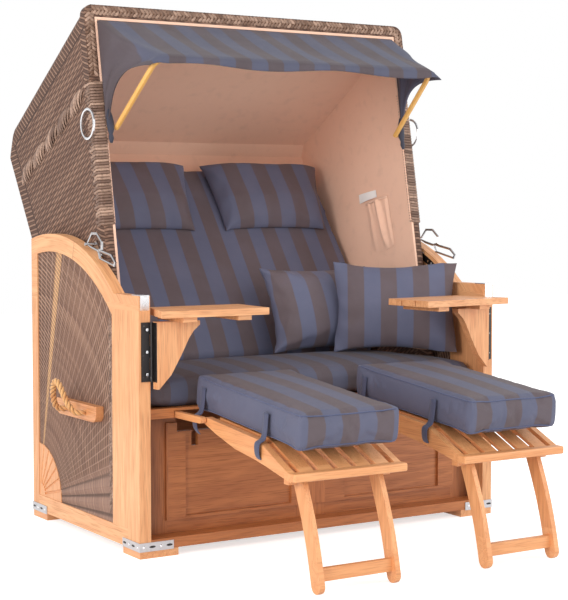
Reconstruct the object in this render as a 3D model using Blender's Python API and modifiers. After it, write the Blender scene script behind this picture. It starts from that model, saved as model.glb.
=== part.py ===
"""A hooded beach chair for two: boarded base with wicker sides, tilting wicker hood with
an awning, two swinging side tables and two pull-out footrests.

Metres, +Z up, +X to the right of someone who looks at the front, +Y to the back. Sizes are
measured from the front face of the posts (y = 0), the middle (x = 0) and the floor (z = 0).
At the end the whole chair is moved along Y, so that its middle stands on the origin.
"""

import math

import bmesh
import bpy
from mathutils import Matrix, Vector

# Clearances
GAP = 0.0003
OVERRUN = 0.01

# Base: outside sizes and boards
BASE_WIDTH = 1.25
BASE_DEPTH = 0.744
BOARD = 0.035
POST_HEIGHT = 0.733
FOOT_HEIGHT = 0.022
STILE_WIDTH = 0.17
REAR_STILE_WIDTH = 0.044
BOTTOM_RAIL_TOP = 0.073
ARCH_RAIL_WIDTH = 0.054

# Hood pivot, and the circle about it that the arch of the side frame follows
PIVOT_Y = 0.59
PIVOT_Z = 0.234
ARCH_RADIUS = 0.661
ARCH_FRONT_ANGLE = math.radians(129.5)
ARCH_REAR_ANGLE = math.radians(77.0)
ARCH_STEPS = 14
ARCH_FOOT_Y = 0.12

# Side fields, carved fan and pivot rail
WICKER_THICKNESS = 0.018
WICKER_SETBACK = 0.004
FAN_RADIUS = 0.165
FAN_STEPS = 8
FAN_RAYS = 6
FAN_GROOVE = 0.004
FAN_FACE_SETBACK = 0.002
PIVOT_RAIL_HEIGHT = 0.07
PIVOT_RAIL_THICKNESS = 0.0115
PIVOT_BOLT_RADIUS = 0.008
PIVOT_HEAD_RADIUS = 0.014
PIVOT_HEAD_THICKNESS = 0.006
RUNNING_FIT = 0.0006

# Feet, corner strips and post caps
FOOT_LENGTH = 0.105
FOOT_REACH = 0.121
STRIP_THICKNESS = 0.002
STRIP_BOTTOM = 0.02
STRIP_HEIGHT = 0.025
CAP_THICKNESS = 0.002
CAP_DROP = 0.04
CAP_RUN = 0.05
CAP_WIDTH = 0.028

# Front panel, plinth, rear panel and seat deck
PANEL_FACE_Y = 0.052
PANEL_MOULDING = 0.008
PANEL_BOARD = 0.015
PANEL_TOP = 0.384
PLINTH_TOP = 0.051
MOULDING_INSET = 0.111
MOULDING_HALF_WIDTH = BASE_WIDTH / 2 - MOULDING_INSET
MOULDING_BOTTOM = 0.088
MOULDING_TOP = 0.367
FIELD_INNER_X = 0.095
FIELD_INSET = 0.062
FIELD_OUTER_X = MOULDING_HALF_WIDTH - FIELD_INSET
FIELD_BOTTOM = 0.097
FIELD_TOP = 0.338
REAR_PANEL_TOP = 0.395
REAR_PANEL_THICKNESS = 0.02
DECK_BOTTOM = 0.404
DECK_THICKNESS = 0.008
DECK_REAR_Y = 0.38
SEAT_FRONT_Y = 0.03
SEAT_WIDE_DEPTH = 0.16
SEAT_RAIL_THICKNESS = 0.02
GUIDE_HEIGHT = 0.018
GUIDE_WIDTH = 0.02

# Locking bar on the inner face of the arch
LOCK_BAR_RADIUS = 0.638
LOCK_BAR_WIDTH = 0.02
LOCK_BAR_THICKNESS = 0.003
LOCK_BAR_FRONT_ANGLE = math.radians(127.5)
LOCK_BAR_REAR_ANGLE = math.radians(96.0)
LOCK_BAR_STEPS = 12
LOCK_HOLES = 9
LOCK_HOLE_RADIUS = 0.004

# Rope handle
HANDLE_FRONT_Y = 0.234
HANDLE_REAR_Y = 0.509
HANDLE_TOP = 0.402
HANDLE_HEIGHT = 0.047
HANDLE_THICKNESS = 0.026
ROPE_RADIUS = 0.0086
ROPE_FRONT_Y = 0.308
ROPE_REAR_Y = 0.427
ROPE_Z = 0.378
ROPE_REACH = 0.055
ROPE_RISE = 0.088

# Side tables and their hinges
HINGE_INSET = 0.0365
HINGE_X = BASE_WIDTH / 2 - HINGE_INSET
HINGE_Y = -0.0048
HINGE_LEAF_HEIGHT = 0.165
HINGE_DROP = 0.073
HINGE_TOP = POST_HEIGHT - HINGE_DROP
HINGE_BOTTOM = HINGE_TOP - HINGE_LEAF_HEIGHT
KNUCKLE_RADIUS = 0.004
HINGE_PIN_RADIUS = 0.0018
KNUCKLES = 5
LEAF_THICKNESS = 0.0025
LEAF_WIDTH = 0.03
TABLE_DROP = 0.0375
TABLE_TOP = POST_HEIGHT - TABLE_DROP
TABLE_SLAT_THICKNESS = 0.0195
TABLE_BATTEN_HEIGHT = 0.014
TABLE_BATTEN_WIDTH = 0.043
TABLE_BATTEN_SETBACK = 0.01
TABLE_LENGTH = 0.336
TABLE_WIDTH = 0.181
TABLE_FRONT = 0.092
TABLE_END_FRONT = -0.013
TABLE_END_REAR = 0.034
TABLE_SLATS = 3
TABLE_SLAT_GAP = 0.005
TABLE_TURN = {"left": math.radians(1.6), "right": math.radians(5.3)}
BRACKET_THICKNESS = 0.025
BRACKET_LENGTH = 0.133
BRACKET_DROP = 0.02
BRACKET_BOTTOM = HINGE_BOTTOM - BRACKET_DROP

# Footrests
FOOTREST_PLACE_SHARES = {"left": -0.2404, "right": 0.1944}
FOOTREST_X = {name: BASE_WIDTH * share for name, share in FOOTREST_PLACE_SHARES.items()}
FOOTREST_WIDTH_SHARE = 0.2816
FOOTREST_WIDTH = BASE_WIDTH * FOOTREST_WIDTH_SHARE
FOOTREST_BOARD = 0.02
FOOTREST_PIVOT_Y = -0.11
FOOTREST_PIVOT_Z = 0.39
FOOTREST_END_RADIUS = 0.0105
FOOTREST_BEND_Y = -0.385
FOOTREST_FRONT_Y = -0.55
FOOTREST_BEND_Z = 0.374
FOOTREST_FRONT_Z = 0.30
FOOTREST_TIP_HEIGHT = 0.017
FOOTREST_BELLY = 0.056
FOOTREST_SLATS = 5
FOOTREST_SLAT_WIDTH = 0.042
FOOTREST_SLAT_THICKNESS = 0.01
FOOTREST_CROSS_WIDTH = 0.03
FOOTREST_CROSS_THICKNESS = 0.012
FRONT_RAIL_DEPTH = 0.035
FRONT_RAIL_HEIGHT = 0.022
RUNNER_WIDTH = 0.016
RUNNER_HEIGHT = 0.018
RUNNER_REAR_Y = 0.20
RUNNER_SIDE_GAP = 0.004
RUNNER_BAR_RADIUS = 0.004
SLOT_SIDE_GAP = 0.003
SLOT_BOTTOM = 0.3405
LEG_SLOT_BOTTOM = 0.296
LEG_SLOT_SIDE_GAP = 0.003
LEG_INSET = 0.058
LEG_HALF_SPACING = FOOTREST_WIDTH / 2 - LEG_INSET
LEG_THICKNESS = 0.015
LEG_WIDTH = 0.043
LEG_PIVOT_Y = -0.50
LEG_PIVOT_Z = 0.283
LEG_FOOT_Y = -0.587
LEG_BOW = 0.009
LEG_STEPS = 8
LEG_ROD_RADIUS = 0.004
LEG_LUG = 0.012
STRETCHER_HEIGHT = 0.034
STRETCHER_THICKNESS = 0.015
STRETCHER_BOTTOM = 0.031

# Hood: outside profile, walls and lower lobes
HOOD_SIDE_GAP = 0.01
HOOD_HALF_WIDTH = BASE_WIDTH / 2 - BOARD - HOOD_SIDE_GAP
HOOD_SHELL = 0.0317
HOOD_LINER = 0.008
HOOD_FRONT_Y = 0.429
HOOD_FRONT_Z = 1.521
HOOD_RAKE = math.radians(10.6)
HOOD_TOP = 1.576
HOOD_TOP_Y = 0.455
HOOD_SHOULDER_Y = 1.008
HOOD_SHOULDER_Z = 1.225
HOOD_NAPE_Y = 1.036
HOOD_NAPE_Z = 1.15
HOOD_BACK_Y = 0.583
HOOD_BACK_Z = 0.47
HOOD_FRONT_BOTTOM_Z = 0.46
HOOD_LOBE_RADIUS = 0.05
HOOD_LOBE_STEPS = 8
HOOD_EDGE_ROUND = 0.018
BRAID_DEPTH = 0.028
BRAID_WIDTH = 0.036
BRAID_BULGE = 0.003
BRAID_BOTTOM = 1.354
BRAID_CORNER = 0.03
RING_RADIUS = 0.044
RING_WIRE = 0.004
RING_Y = 0.396
RING_TOP_Z = 1.266
RING_STAPLE = 0.006

# Latch levers
LEVER_Y = 0.36
LEVER_Z = 0.868
LEVER_REACH = 0.05
LEVER_WIRE = 0.0042
LEVER_HOOK_THICKNESS = 0.004
LEVER_HOOK_WIDTH = 0.02
LEVER_OFFSET = 0.03

# Awning
BOW_FOOT_INSET = 0.07
BOW_FOOT_X = HOOD_HALF_WIDTH - BOW_FOOT_INSET
BOW_FOOT_Y = 0.37
BOW_FOOT_Z = 1.21
BOW_INSET = 0.092
BOW_HALF_WIDTH = HOOD_HALF_WIDTH - BOW_INSET
BOW_FRONT_Y = 0.148
BOW_FRONT_Z = 1.40
BOW_RADIUS = 0.0085
BOW_BEND = 0.035
BOW_PIN_RADIUS = 0.004
CLOTH_THICKNESS = 0.003
CLOTH_OVERHANG = 0.022
CLOTH_CLEARANCE = 0.0095
CLOTH_LIFT = BOW_RADIUS + CLOTH_CLEARANCE
CLOTH_EDGE_INSET = 0.038
CLOTH_EDGE_X = HOOD_HALF_WIDTH - CLOTH_EDGE_INSET
CLOTH_FOLD_DEPTH = 0.006
CLOTH_FOLDS = 5

# Upholstery
SEAT_CUSHION_EDGE = 0.075
SEAT_CUSHION_CROWN = 0.03
SEAT_CUSHION_REAR_Y = 0.43
BACK_CUSHION_THICKNESS = 0.078
BACK_CUSHION_CROWN = 0.012
BACK_CUSHION_BOTTOM = 0.475
BACK_CUSHION_TOP = 1.09
HEADREST_THICKNESS = 0.058
HEADREST_CROWN = 0.02
HEADREST_HEIGHT = 0.262
HEADREST_GAP = 0.02
FOOT_CUSHION_INSET = 0.032
FOOT_CUSHION_WIDTH = FOOTREST_WIDTH - FOOT_CUSHION_INSET
FOOT_CUSHION_LENGTH = 0.56
FOOT_CUSHION_BEHIND_SHARE = 0.19
FOOT_CUSHION_THICKNESS = 0.098
FOOT_CUSHION_CROWN = 0.012
PILLOW_WIDTH_SHARE = 0.332
PILLOW_WIDTH = BASE_WIDTH * PILLOW_WIDTH_SHARE
PILLOW_HEIGHT = 0.30
PILLOW_THICKNESS = 0.12
CUSHION_SIDE_GAP = 0.006
REST_GAP = 0.0006

ROUND = 16
SMALL_ROUND = 10
SMOOTH_ANGLE = math.radians(35.0)
SIDES = {"left": -1, "right": 1}

for old in list(bpy.data.objects):
    bpy.data.objects.remove(old, do_unlink=True)

chair = bpy.data.collections.new("hooded_beach_chair")
cutters = bpy.data.collections.new("cutters")
bpy.context.scene.collection.children.link(chair)
bpy.context.scene.collection.children.link(cutters)


def material(name, color, roughness, metallic=0.0):
    """A Principled material with a colour, a roughness and a metallic value."""
    made = bpy.data.materials.new(name)
    made.use_nodes = True
    shader = made.node_tree.nodes["Principled BSDF"]
    shader.inputs["Base Color"].default_value = (*color, 1.0)
    shader.inputs["Roughness"].default_value = roughness
    shader.inputs["Metallic"].default_value = metallic
    return made


TEAK = material("teak", (0.68, 0.38, 0.18), 0.55)
WICKER = material("wicker", (0.20, 0.15, 0.12), 0.6)
LINING = material("lining", (0.62, 0.40, 0.31), 0.85)
STRIPES = material("striped_cloth", (0.13, 0.14, 0.23), 0.9)
STEEL = material("steel", (0.60, 0.60, 0.62), 0.3, 1.0)
BLACK_STEEL = material("black_steel", (0.04, 0.04, 0.045), 0.45, 1.0)
ROPE = material("rope", (0.62, 0.42, 0.22), 0.8)
BOW_WOOD = material("bow_wood", (0.80, 0.48, 0.12), 0.5)


def empty(name, location, parent=None):
    """A parent for the pieces that move together, on their joint's axis."""
    made = bpy.data.objects.new(name, None)
    chair.objects.link(made)
    made.location = Vector(location)
    if parent:
        made.parent = parent
        made.location = Vector(location) - world_place(parent)
    return made


def world_place(obj):
    """Where an unrotated chain of parents puts an object."""
    place = Vector(obj.location)
    while obj.parent:
        obj = obj.parent
        place += obj.location
    return place


def new_object(name, mesh, collection=None):
    """An object with a mesh, in the cutters' collection unless another is given."""
    made = bpy.data.objects.new(name, mesh)
    (collection or cutters).objects.link(made)
    if (collection or cutters) == cutters:
        made.hide_render = True
        made.display_type = "WIRE"
    return made


def from_bmesh(name, bm):
    """Turn a bmesh into a working piece."""
    mesh = bpy.data.meshes.new(name)
    bmesh.ops.recalc_face_normals(bm, faces=bm.faces)
    if bm.calc_volume(signed=True) < 0:
        bmesh.ops.reverse_faces(bm, faces=bm.faces)
    bm.to_mesh(mesh)
    bm.free()
    return new_object(name, mesh)


def box(name, x, y, z):
    """A box between two x, two y and two z."""
    bm = bmesh.new()
    size = Matrix.Diagonal((x[1] - x[0], y[1] - y[0], z[1] - z[0], 1.0))
    middle = Vector((sum(x), sum(y), sum(z))) / 2
    bmesh.ops.create_cube(bm, size=1.0, matrix=Matrix.Translation(middle) @ size)
    return from_bmesh(name, bm)


def rod(name, start, end, radius, sides=ROUND):
    """A round rod between two points."""
    start = Vector(start)
    along = Vector(end) - start
    bm = bmesh.new()
    turn = along.to_track_quat("Z", "Y").to_matrix().to_4x4()
    bmesh.ops.create_cone(
        bm,
        cap_ends=True,
        segments=sides,
        radius1=radius,
        radius2=radius,
        depth=along.length,
        matrix=Matrix.Translation(start + along / 2) @ turn,
    )
    return from_bmesh(name, bm)


def mesh_of(name, curve_object, weld):
    """Replace a curve object by a mesh with its caps welded on."""
    bpy.context.view_layer.update()
    graph = bpy.context.evaluated_depsgraph_get()
    mesh = bpy.data.meshes.new_from_object(curve_object.evaluated_get(graph))
    mesh.transform(curve_object.matrix_world)
    curve = curve_object.data
    bpy.data.objects.remove(curve_object)
    bpy.data.curves.remove(curve)
    bm = bmesh.new()
    bm.from_mesh(mesh)
    bpy.data.meshes.remove(mesh)
    bmesh.ops.remove_doubles(bm, verts=bm.verts, dist=weld)
    return from_bmesh(name, bm)


PLANES = {
    "YZ": Matrix(((0, 0, 1, 0), (1, 0, 0, 0), (0, 1, 0, 0), (0, 0, 0, 1))),
    "XZ": Matrix(((1, 0, 0, 0), (0, 0, -1, 0), (0, 1, 0, 0), (0, 0, 0, 1))),
    "XY": Matrix.Identity(4),
}


def slab(name, plane, outlines, low, high):
    """A flat board: outlines in a plane, filled, and thick from low to high across it."""
    curve = bpy.data.curves.new(name, "CURVE")
    curve.dimensions = "2D"
    curve.fill_mode = "BOTH"
    curve.extrude = (high - low) / 2
    for outline in outlines:
        spline = curve.splines.new("POLY")
        spline.points.add(len(outline) - 1)
        for point, place in zip(spline.points, outline):
            point.co = (place[0], place[1], 0.0, 1.0)
        spline.use_cyclic_u = True
    drawn = bpy.data.objects.new(name, curve)
    cutters.objects.link(drawn)
    across = (low + high) / 2 * (-1 if plane == "XZ" else 1)
    drawn.matrix_world = PLANES[plane] @ Matrix.Translation((0, 0, across))
    return mesh_of(name, drawn, GAP / 10)


def tube(name, points, radius, closed=False, resolution=1):
    """A round tube through points."""
    curve = bpy.data.curves.new(name, "CURVE")
    curve.dimensions = "3D"
    curve.bevel_depth = radius
    curve.bevel_resolution = resolution
    curve.use_fill_caps = not closed
    spline = curve.splines.new("POLY")
    spline.points.add(len(points) - 1)
    for point, place in zip(spline.points, points):
        point.co = (*place, 1.0)
    spline.use_cyclic_u = closed
    drawn = bpy.data.objects.new(name, curve)
    cutters.objects.link(drawn)
    return mesh_of(name, drawn, GAP / 10)


def bake(obj):
    """Apply an object's modifiers."""
    bpy.context.view_layer.update()
    graph = bpy.context.evaluated_depsgraph_get()
    mesh = bpy.data.meshes.new_from_object(obj.evaluated_get(graph))
    old_mesh = obj.data
    obj.modifiers.clear()
    obj.data = mesh
    bpy.data.meshes.remove(old_mesh)
    return obj


def combine(obj, others, operation):
    """Join others to an object, or cut them out of it, and remove them."""
    for other in others:
        step = obj.modifiers.new(operation.lower(), "BOOLEAN")
        step.operation = operation
        step.object = other
        bake(obj)
        bpy.data.objects.remove(other)
        tidy(obj.data)
    return obj


def tidy(mesh):
    """Remove the slivers that a Boolean leaves."""
    bm = bmesh.new()
    bm.from_mesh(mesh)
    bmesh.ops.remove_doubles(bm, verts=bm.verts, dist=GAP / 30)
    bmesh.ops.dissolve_degenerate(bm, edges=bm.edges, dist=GAP / 30)
    bm.to_mesh(mesh)
    bm.free()


def join(obj, *others):
    return combine(obj, others, "UNION")


def cut(obj, *others):
    return combine(obj, others, "DIFFERENCE")


def rounded(obj, width, segments=1):
    """Round the sharp edges of an object."""
    step = obj.modifiers.new("edges", "BEVEL")
    step.width = width
    step.segments = segments
    step.limit_method = "ANGLE"
    step.angle_limit = SMOOTH_ANGLE
    return bake(obj)


def mirrored(points, side):
    """The same 3-D points on the left or the right side."""
    return [(place[0] * side, place[1], place[2]) for place in points]


def span(side, near, far):
    """The x range between two distances from the middle, on one side."""
    return (near, far) if side > 0 else (-far, -near)


def arc(centre, radius, start, end, steps):
    """Points on a circle in a plane, from one angle to another."""
    return [
        (
            centre[0] + radius * math.cos(start + (end - start) * step / steps),
            centre[1] + radius * math.sin(start + (end - start) * step / steps),
        )
        for step in range(steps + 1)
    ]


def inset(points, distance):
    """A closed outline moved inwards by a distance; points run anticlockwise."""
    moved = []
    for index, here in enumerate(points):
        before = Vector(points[index - 1])
        after = Vector(points[(index + 1) % len(points)])
        into = (Vector(here) - before).normalized()
        out = (after - Vector(here)).normalized()
        normal = Vector((-into.y - out.y, into.x + out.x)).normalized()
        share = max(normal.dot(Vector((-into.y, into.x))), math.cos(SMOOTH_ANGLE * 2))
        moved.append(tuple(Vector(here) + normal * distance / share))
    return moved


def finish(obj, paint, parent, origin=None, smooth=True):
    """Put a finished piece in the chair: material, shading, origin and parent."""
    cutters.objects.unlink(obj)
    chair.objects.link(obj)
    obj.hide_render = False
    obj.display_type = "TEXTURED"
    obj.data.materials.clear()
    obj.data.materials.append(paint)
    if origin is None:
        corners = [Vector(corner) for corner in obj.bound_box]
        origin = sum(corners, Vector()) / len(corners)
    origin = Vector(origin)
    obj.data.transform(Matrix.Translation(-origin))
    obj.parent = parent
    obj.location = origin - world_place(parent)
    if smooth:
        obj.data.shade_smooth()
        obj.data.set_sharp_from_angle(angle=SMOOTH_ANGLE)
    return obj


def smoothed_cage(name, columns, rows, shape, levels=1):
    """A soft pad: a coarse closed cage whose points shape(u, v, w) places, subdivided.

    u and v run from -1 to 1 across the pad, and w is -1 below, 0 half way and 1 on top.
    """
    bm = bmesh.new()
    bmesh.ops.create_grid(bm, x_segments=columns, y_segments=rows, size=1.0)
    for vert in bm.verts:
        vert.co.z = -1.0
    faces = bm.faces[:]
    for level, keep in ((0.0, True), (1.0, False)):
        made = bmesh.ops.extrude_face_region(bm, geom=faces, use_keep_orig=keep)["geom"]
        if not keep:
            bmesh.ops.delete(bm, geom=faces, context="FACES_ONLY")
        faces = [item for item in made if isinstance(item, bmesh.types.BMFace)]
        for vert in {vert for face in faces for vert in face.verts}:
            vert.co.z = level
    for vert in bm.verts:
        vert.co = shape(vert.co.x, vert.co.y, vert.co.z)
    made = from_bmesh(name, bm)
    step = made.modifiers.new("soft", "SUBSURF")
    step.levels = levels
    step.render_levels = levels
    return bake(made)


# Lines that several pieces share
POST_INNER = BASE_WIDTH / 2 - BOARD
REAR_STILE_Y = BASE_DEPTH - REAR_STILE_WIDTH
PIVOT = (PIVOT_Y, PIVOT_Z)
WICKER_OUTER = BASE_WIDTH / 2 - WICKER_SETBACK
BETWEEN_POSTS = (-POST_INNER + GAP, POST_INNER - GAP)


def arch_angles(radius, front_y):
    """The angles at which a circle about the pivot meets the rear stile and a front line."""
    rear = REAR_STILE_Y if front_y else BASE_DEPTH
    low = math.acos((rear - PIVOT_Y) / radius)
    if front_y:
        return low, math.acos((front_y - PIVOT_Y) / radius)
    return low, math.pi - math.asin((POST_HEIGHT - PIVOT_Z) / radius)


def side_outline():
    """Outside of a side frame: post, bottom rail, rear stile and the arch about the pivot."""
    arch = arc(PIVOT, ARCH_RADIUS, *arch_angles(ARCH_RADIUS, 0), ARCH_STEPS)
    return [(0, FOOT_HEIGHT), (BASE_DEPTH, FOOT_HEIGHT), *arch, (0, POST_HEIGHT)]


def fan_arc():
    corner = (REAR_STILE_Y, BOTTOM_RAIL_TOP)
    return arc(corner, FAN_RADIUS, math.pi / 2, math.pi, FAN_STEPS)


def window_outline(with_fan):
    """Opening of a side frame, with or without the carved fan in its rear corner."""
    radius = ARCH_RADIUS - ARCH_RAIL_WIDTH
    arch = arc(PIVOT, radius, *arch_angles(radius, STILE_WIDTH), ARCH_STEPS)
    corner = [(REAR_STILE_Y, BOTTOM_RAIL_TOP)] if with_fan else fan_arc()[::-1]
    return [(STILE_WIDTH, BOTTOM_RAIL_TOP), *corner, *arch]


def side_frame(name, side, root):
    """Post, rails and arch in one frame, with an inner rail that carries the hood's pivot."""
    x = span(side, POST_INNER, BASE_WIDTH / 2)
    outlines = [side_outline(), window_outline(True)]
    frame = slab("side_frame_" + name, "YZ", outlines, *x)
    rail = box(
        "pivot_rail",
        span(side, POST_INNER + REST_GAP, POST_INNER + PIVOT_RAIL_THICKNESS),
        (STILE_WIDTH - OVERRUN, REAR_STILE_Y + OVERRUN),
        (PIVOT_Z - PIVOT_RAIL_HEIGHT / 2, PIVOT_Z + PIVOT_RAIL_HEIGHT / 2),
    )
    join(frame, rail)
    hole = PIVOT_BOLT_RADIUS + RUNNING_FIT
    far = POST_INNER + PIVOT_RAIL_THICKNESS + OVERRUN / 2
    start = (side * (POST_INNER - OVERRUN), *PIVOT)
    cut(frame, rod("pivot_hole", start, (side * far, *PIVOT), hole))
    finish(frame, TEAK, root)


def side_field(name, side, root):
    """Wicker field and carved fan that fill the side frame, and the fan's grooves."""
    x = span(side, WICKER_OUTER - WICKER_THICKNESS, WICKER_OUTER)
    field = inset(window_outline(False), GAP)
    finish(slab("side_wicker_" + name, "YZ", [field], *x), WICKER, root)
    corner = (REAR_STILE_Y, BOTTOM_RAIL_TOP)
    face = BASE_WIDTH / 2 - FAN_FACE_SETBACK
    fan_x = span(side, WICKER_OUTER - WICKER_THICKNESS, face)
    fan = slab("corner_fan_" + name, "YZ", [inset([corner, *fan_arc()], GAP)], *fan_x)
    for ray in range(1, FAN_RAYS + 1):
        angle = math.pi / 2 + math.pi / 2 * ray / (FAN_RAYS + 1)
        near = FAN_RADIUS / 4
        ends = [
            (
                side * face,
                corner[0] + reach * math.cos(angle),
                corner[1] + reach * math.sin(angle),
            )
            for reach in (near, FAN_RADIUS + OVERRUN)
        ]
        cut(fan, rod("groove", *ends, FAN_GROOVE, 6))
    finish(fan, TEAK, root)


def handle(name, side, root):
    """Rounded block across the side field, and a loop of rope through it."""
    radius = HANDLE_HEIGHT / 2
    middle = HANDLE_TOP - radius
    x = span(side, WICKER_OUTER + GAP, WICKER_OUTER + HANDLE_THICKNESS)
    under = arc((HANDLE_FRONT_Y + radius, middle), radius, math.pi, math.pi * 1.5, 5)
    behind = arc((HANDLE_REAR_Y - radius, middle), radius, math.pi * 1.5, math.pi * 2, 5)
    top = [(HANDLE_REAR_Y, HANDLE_TOP), (HANDLE_FRONT_Y, HANDLE_TOP)]
    block = slab("handle_block_" + name, "YZ", [[*under, *behind, *top]], *x)
    finish(rounded(block, FAN_GROOVE), TEAK, root)
    face = WICKER_OUTER + HANDLE_THICKNESS + GAP
    half = (ROPE_REAR_Y - ROPE_FRONT_Y) / 2
    steps = ARCH_STEPS * 2
    points = []
    for step in range(steps + 1):
        turn = math.pi * step / steps
        out = math.sin(turn) ** (1 / 2)
        points.append(
            (
                side * (face + ROPE_RADIUS + (ROPE_REACH - ROPE_RADIUS) * out),
                (ROPE_FRONT_Y + ROPE_REAR_Y) / 2 - half * math.cos(turn) + half * out / 3,
                ROPE_Z + ROPE_RISE * math.sin(turn) ** 2,
            )
        )
    lead = [(side * face, y, z) for _, y, z in (points[0], points[-1])]
    finish(tube("carry_rope_" + name, [lead[0], *points, lead[1]], ROPE_RADIUS), ROPE, root)


def feet_and_strips(name, side, root):
    """Foot blocks, steel strips round the lower corners and a steel cap on the post."""
    outer = BASE_WIDTH / 2
    foot_x = span(side, outer - FOOT_REACH, outer)
    thick = STRIP_THICKNESS + GAP
    for end, y in (("front", (0, FOOT_LENGTH)), ("rear", (BASE_DEPTH - FOOT_LENGTH, BASE_DEPTH))):
        block = box("foot_" + end + "_" + name, foot_x, y, (0, FOOT_HEIGHT - GAP))
        finish(block, TEAK, root, smooth=False)
        face = 0 if end == "front" else BASE_DEPTH
        out = -1 if end == "front" else 1
        length = FOOT_LENGTH if end == "front" else FOOT_LENGTH / 2
        strip = [
            (side * (outer + GAP), face + out * GAP),
            (side * (outer - length), face + out * GAP),
            (side * (outer - length), face + out * thick),
            (side * (outer + thick), face + out * thick),
            (side * (outer + thick), face - out * FOOT_LENGTH),
            (side * (outer + GAP), face - out * FOOT_LENGTH),
        ]
        top = STRIP_BOTTOM + STRIP_HEIGHT
        made = slab("corner_strip_" + end + "_" + name, "XY", [strip], STRIP_BOTTOM, top)
        finish(made, STEEL, root, smooth=False)
    middle = POST_INNER + BOARD / 2
    cap_x = span(side, middle - CAP_WIDTH / 2, middle + CAP_WIDTH / 2)
    high = POST_HEIGHT + GAP + CAP_THICKNESS
    front = -GAP - CAP_THICKNESS
    cap = [
        (-GAP, POST_HEIGHT - CAP_DROP),
        (-GAP, POST_HEIGHT + GAP),
        (CAP_RUN, POST_HEIGHT + GAP),
        (CAP_RUN, high),
        (front, high),
        (front, POST_HEIGHT - CAP_DROP),
    ]
    finish(slab("post_cap_" + name, "YZ", [cap], *cap_x), STEEL, root, smooth=False)


def locking_bar(name, side, root):
    """Perforated bar on the arch, on a circle about the hood's pivot."""
    ends = (LOCK_BAR_REAR_ANGLE, LOCK_BAR_FRONT_ANGLE)
    half = LOCK_BAR_WIDTH / 2
    outer = arc(PIVOT, LOCK_BAR_RADIUS + half, *ends, LOCK_BAR_STEPS)
    inner = arc(PIVOT, LOCK_BAR_RADIUS - half, *ends, LOCK_BAR_STEPS)
    x = span(side, POST_INNER - GAP - LOCK_BAR_THICKNESS, POST_INNER - GAP)
    holes = arc(PIVOT, LOCK_BAR_RADIUS, *ends, LOCK_HOLES + 1)[1:-1]
    round_holes = [arc(hole, LOCK_HOLE_RADIUS, 0, math.tau, 8)[:-1] for hole in holes]
    bar = slab("locking_bar_" + name, "YZ", [[*outer, *inner[::-1]], *round_holes], *x)
    finish(bar, STEEL, root, smooth=False)


def pivot_bolt(name, side, root):
    """Bolt on the inside of the hood's wall that the hood turns on."""
    inner = HOOD_HALF_WIDTH - HOOD_SHELL
    tip = POST_INNER + PIVOT_RAIL_THICKNESS - GAP
    shaft = rod("hood_pivot_" + name, (side * (inner - OVERRUN / 2), *PIVOT),
                (side * tip, *PIVOT), PIVOT_BOLT_RADIUS)
    head_end = inner - GAP - PIVOT_HEAD_THICKNESS
    head = rod("head", (side * head_end, *PIVOT), (side * (inner - GAP), *PIVOT),
               PIVOT_HEAD_RADIUS)
    finish(join(shaft, head), STEEL, root)


def slot_cutters():
    """Room in the front panel for each footrest frame and its folded legs."""
    made = []
    for centre in FOOTREST_X.values():
        half = FOOTREST_WIDTH / 2 + SLOT_SIDE_GAP
        y = (0, PANEL_FACE_Y + PANEL_MOULDING + PANEL_BOARD + OVERRUN)
        high = PANEL_TOP + OVERRUN
        made.append(box("slot", (centre - half, centre + half), y, (SLOT_BOTTOM, high)))
        leg = LEG_THICKNESS / 2 + LEG_SLOT_SIDE_GAP
        for way in SIDES.values():
            x = (centre + way * LEG_HALF_SPACING - leg, centre + way * LEG_HALF_SPACING + leg)
            made.append(box("leg_slot", x, y, (LEG_SLOT_BOTTOM, high)))
    return made


def front_panel(root):
    """Board with a moulding round two fields, slots at the top and guides behind them."""
    board_y = (PANEL_FACE_Y + PANEL_MOULDING, PANEL_FACE_Y + PANEL_MOULDING + PANEL_BOARD)
    board = box("front_panel", BETWEEN_POSTS, board_y, (PLINTH_TOP + GAP, PANEL_TOP))
    wide = MOULDING_HALF_WIDTH
    frame = [(-wide, MOULDING_BOTTOM), (wide, MOULDING_BOTTOM), (wide, MOULDING_TOP),
             (-wide, MOULDING_TOP)]
    fields = []
    for near, far in ((-FIELD_OUTER_X, -FIELD_INNER_X), (FIELD_INNER_X, FIELD_OUTER_X)):
        fields.append([(near, FIELD_BOTTOM), (far, FIELD_BOTTOM), (far, FIELD_TOP),
                       (near, FIELD_TOP)])
    deep = PANEL_FACE_Y + PANEL_MOULDING + PANEL_BOARD / 2
    moulding = slab("moulding", "XZ", [frame, *fields], PANEL_FACE_Y, deep)
    join(board, moulding)
    cut(board, *slot_cutters())
    guide_y = (board_y[0] + PANEL_BOARD / 2, REAR_STILE_Y)
    for centre in FOOTREST_X.values():
        near = FOOTREST_WIDTH / 2 + RUNNER_SIDE_GAP
        for way in SIDES.values():
            x = sorted((centre + way * near, centre + way * (near + GUIDE_WIDTH)))
            join(board, box("guide", x, guide_y, (PANEL_TOP - GUIDE_HEIGHT, PANEL_TOP)))
    finish(board, TEAK, root, smooth=False)


def seat_half_width(y, room):
    """Half the width of what lies on the seat: narrower behind, beside the hood's walls."""
    behind = HOOD_HALF_WIDTH - HOOD_SHELL - HOOD_LINER - CUSHION_SIDE_GAP
    return behind if y > SEAT_FRONT_Y + SEAT_WIDE_DEPTH else POST_INNER - room


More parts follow.
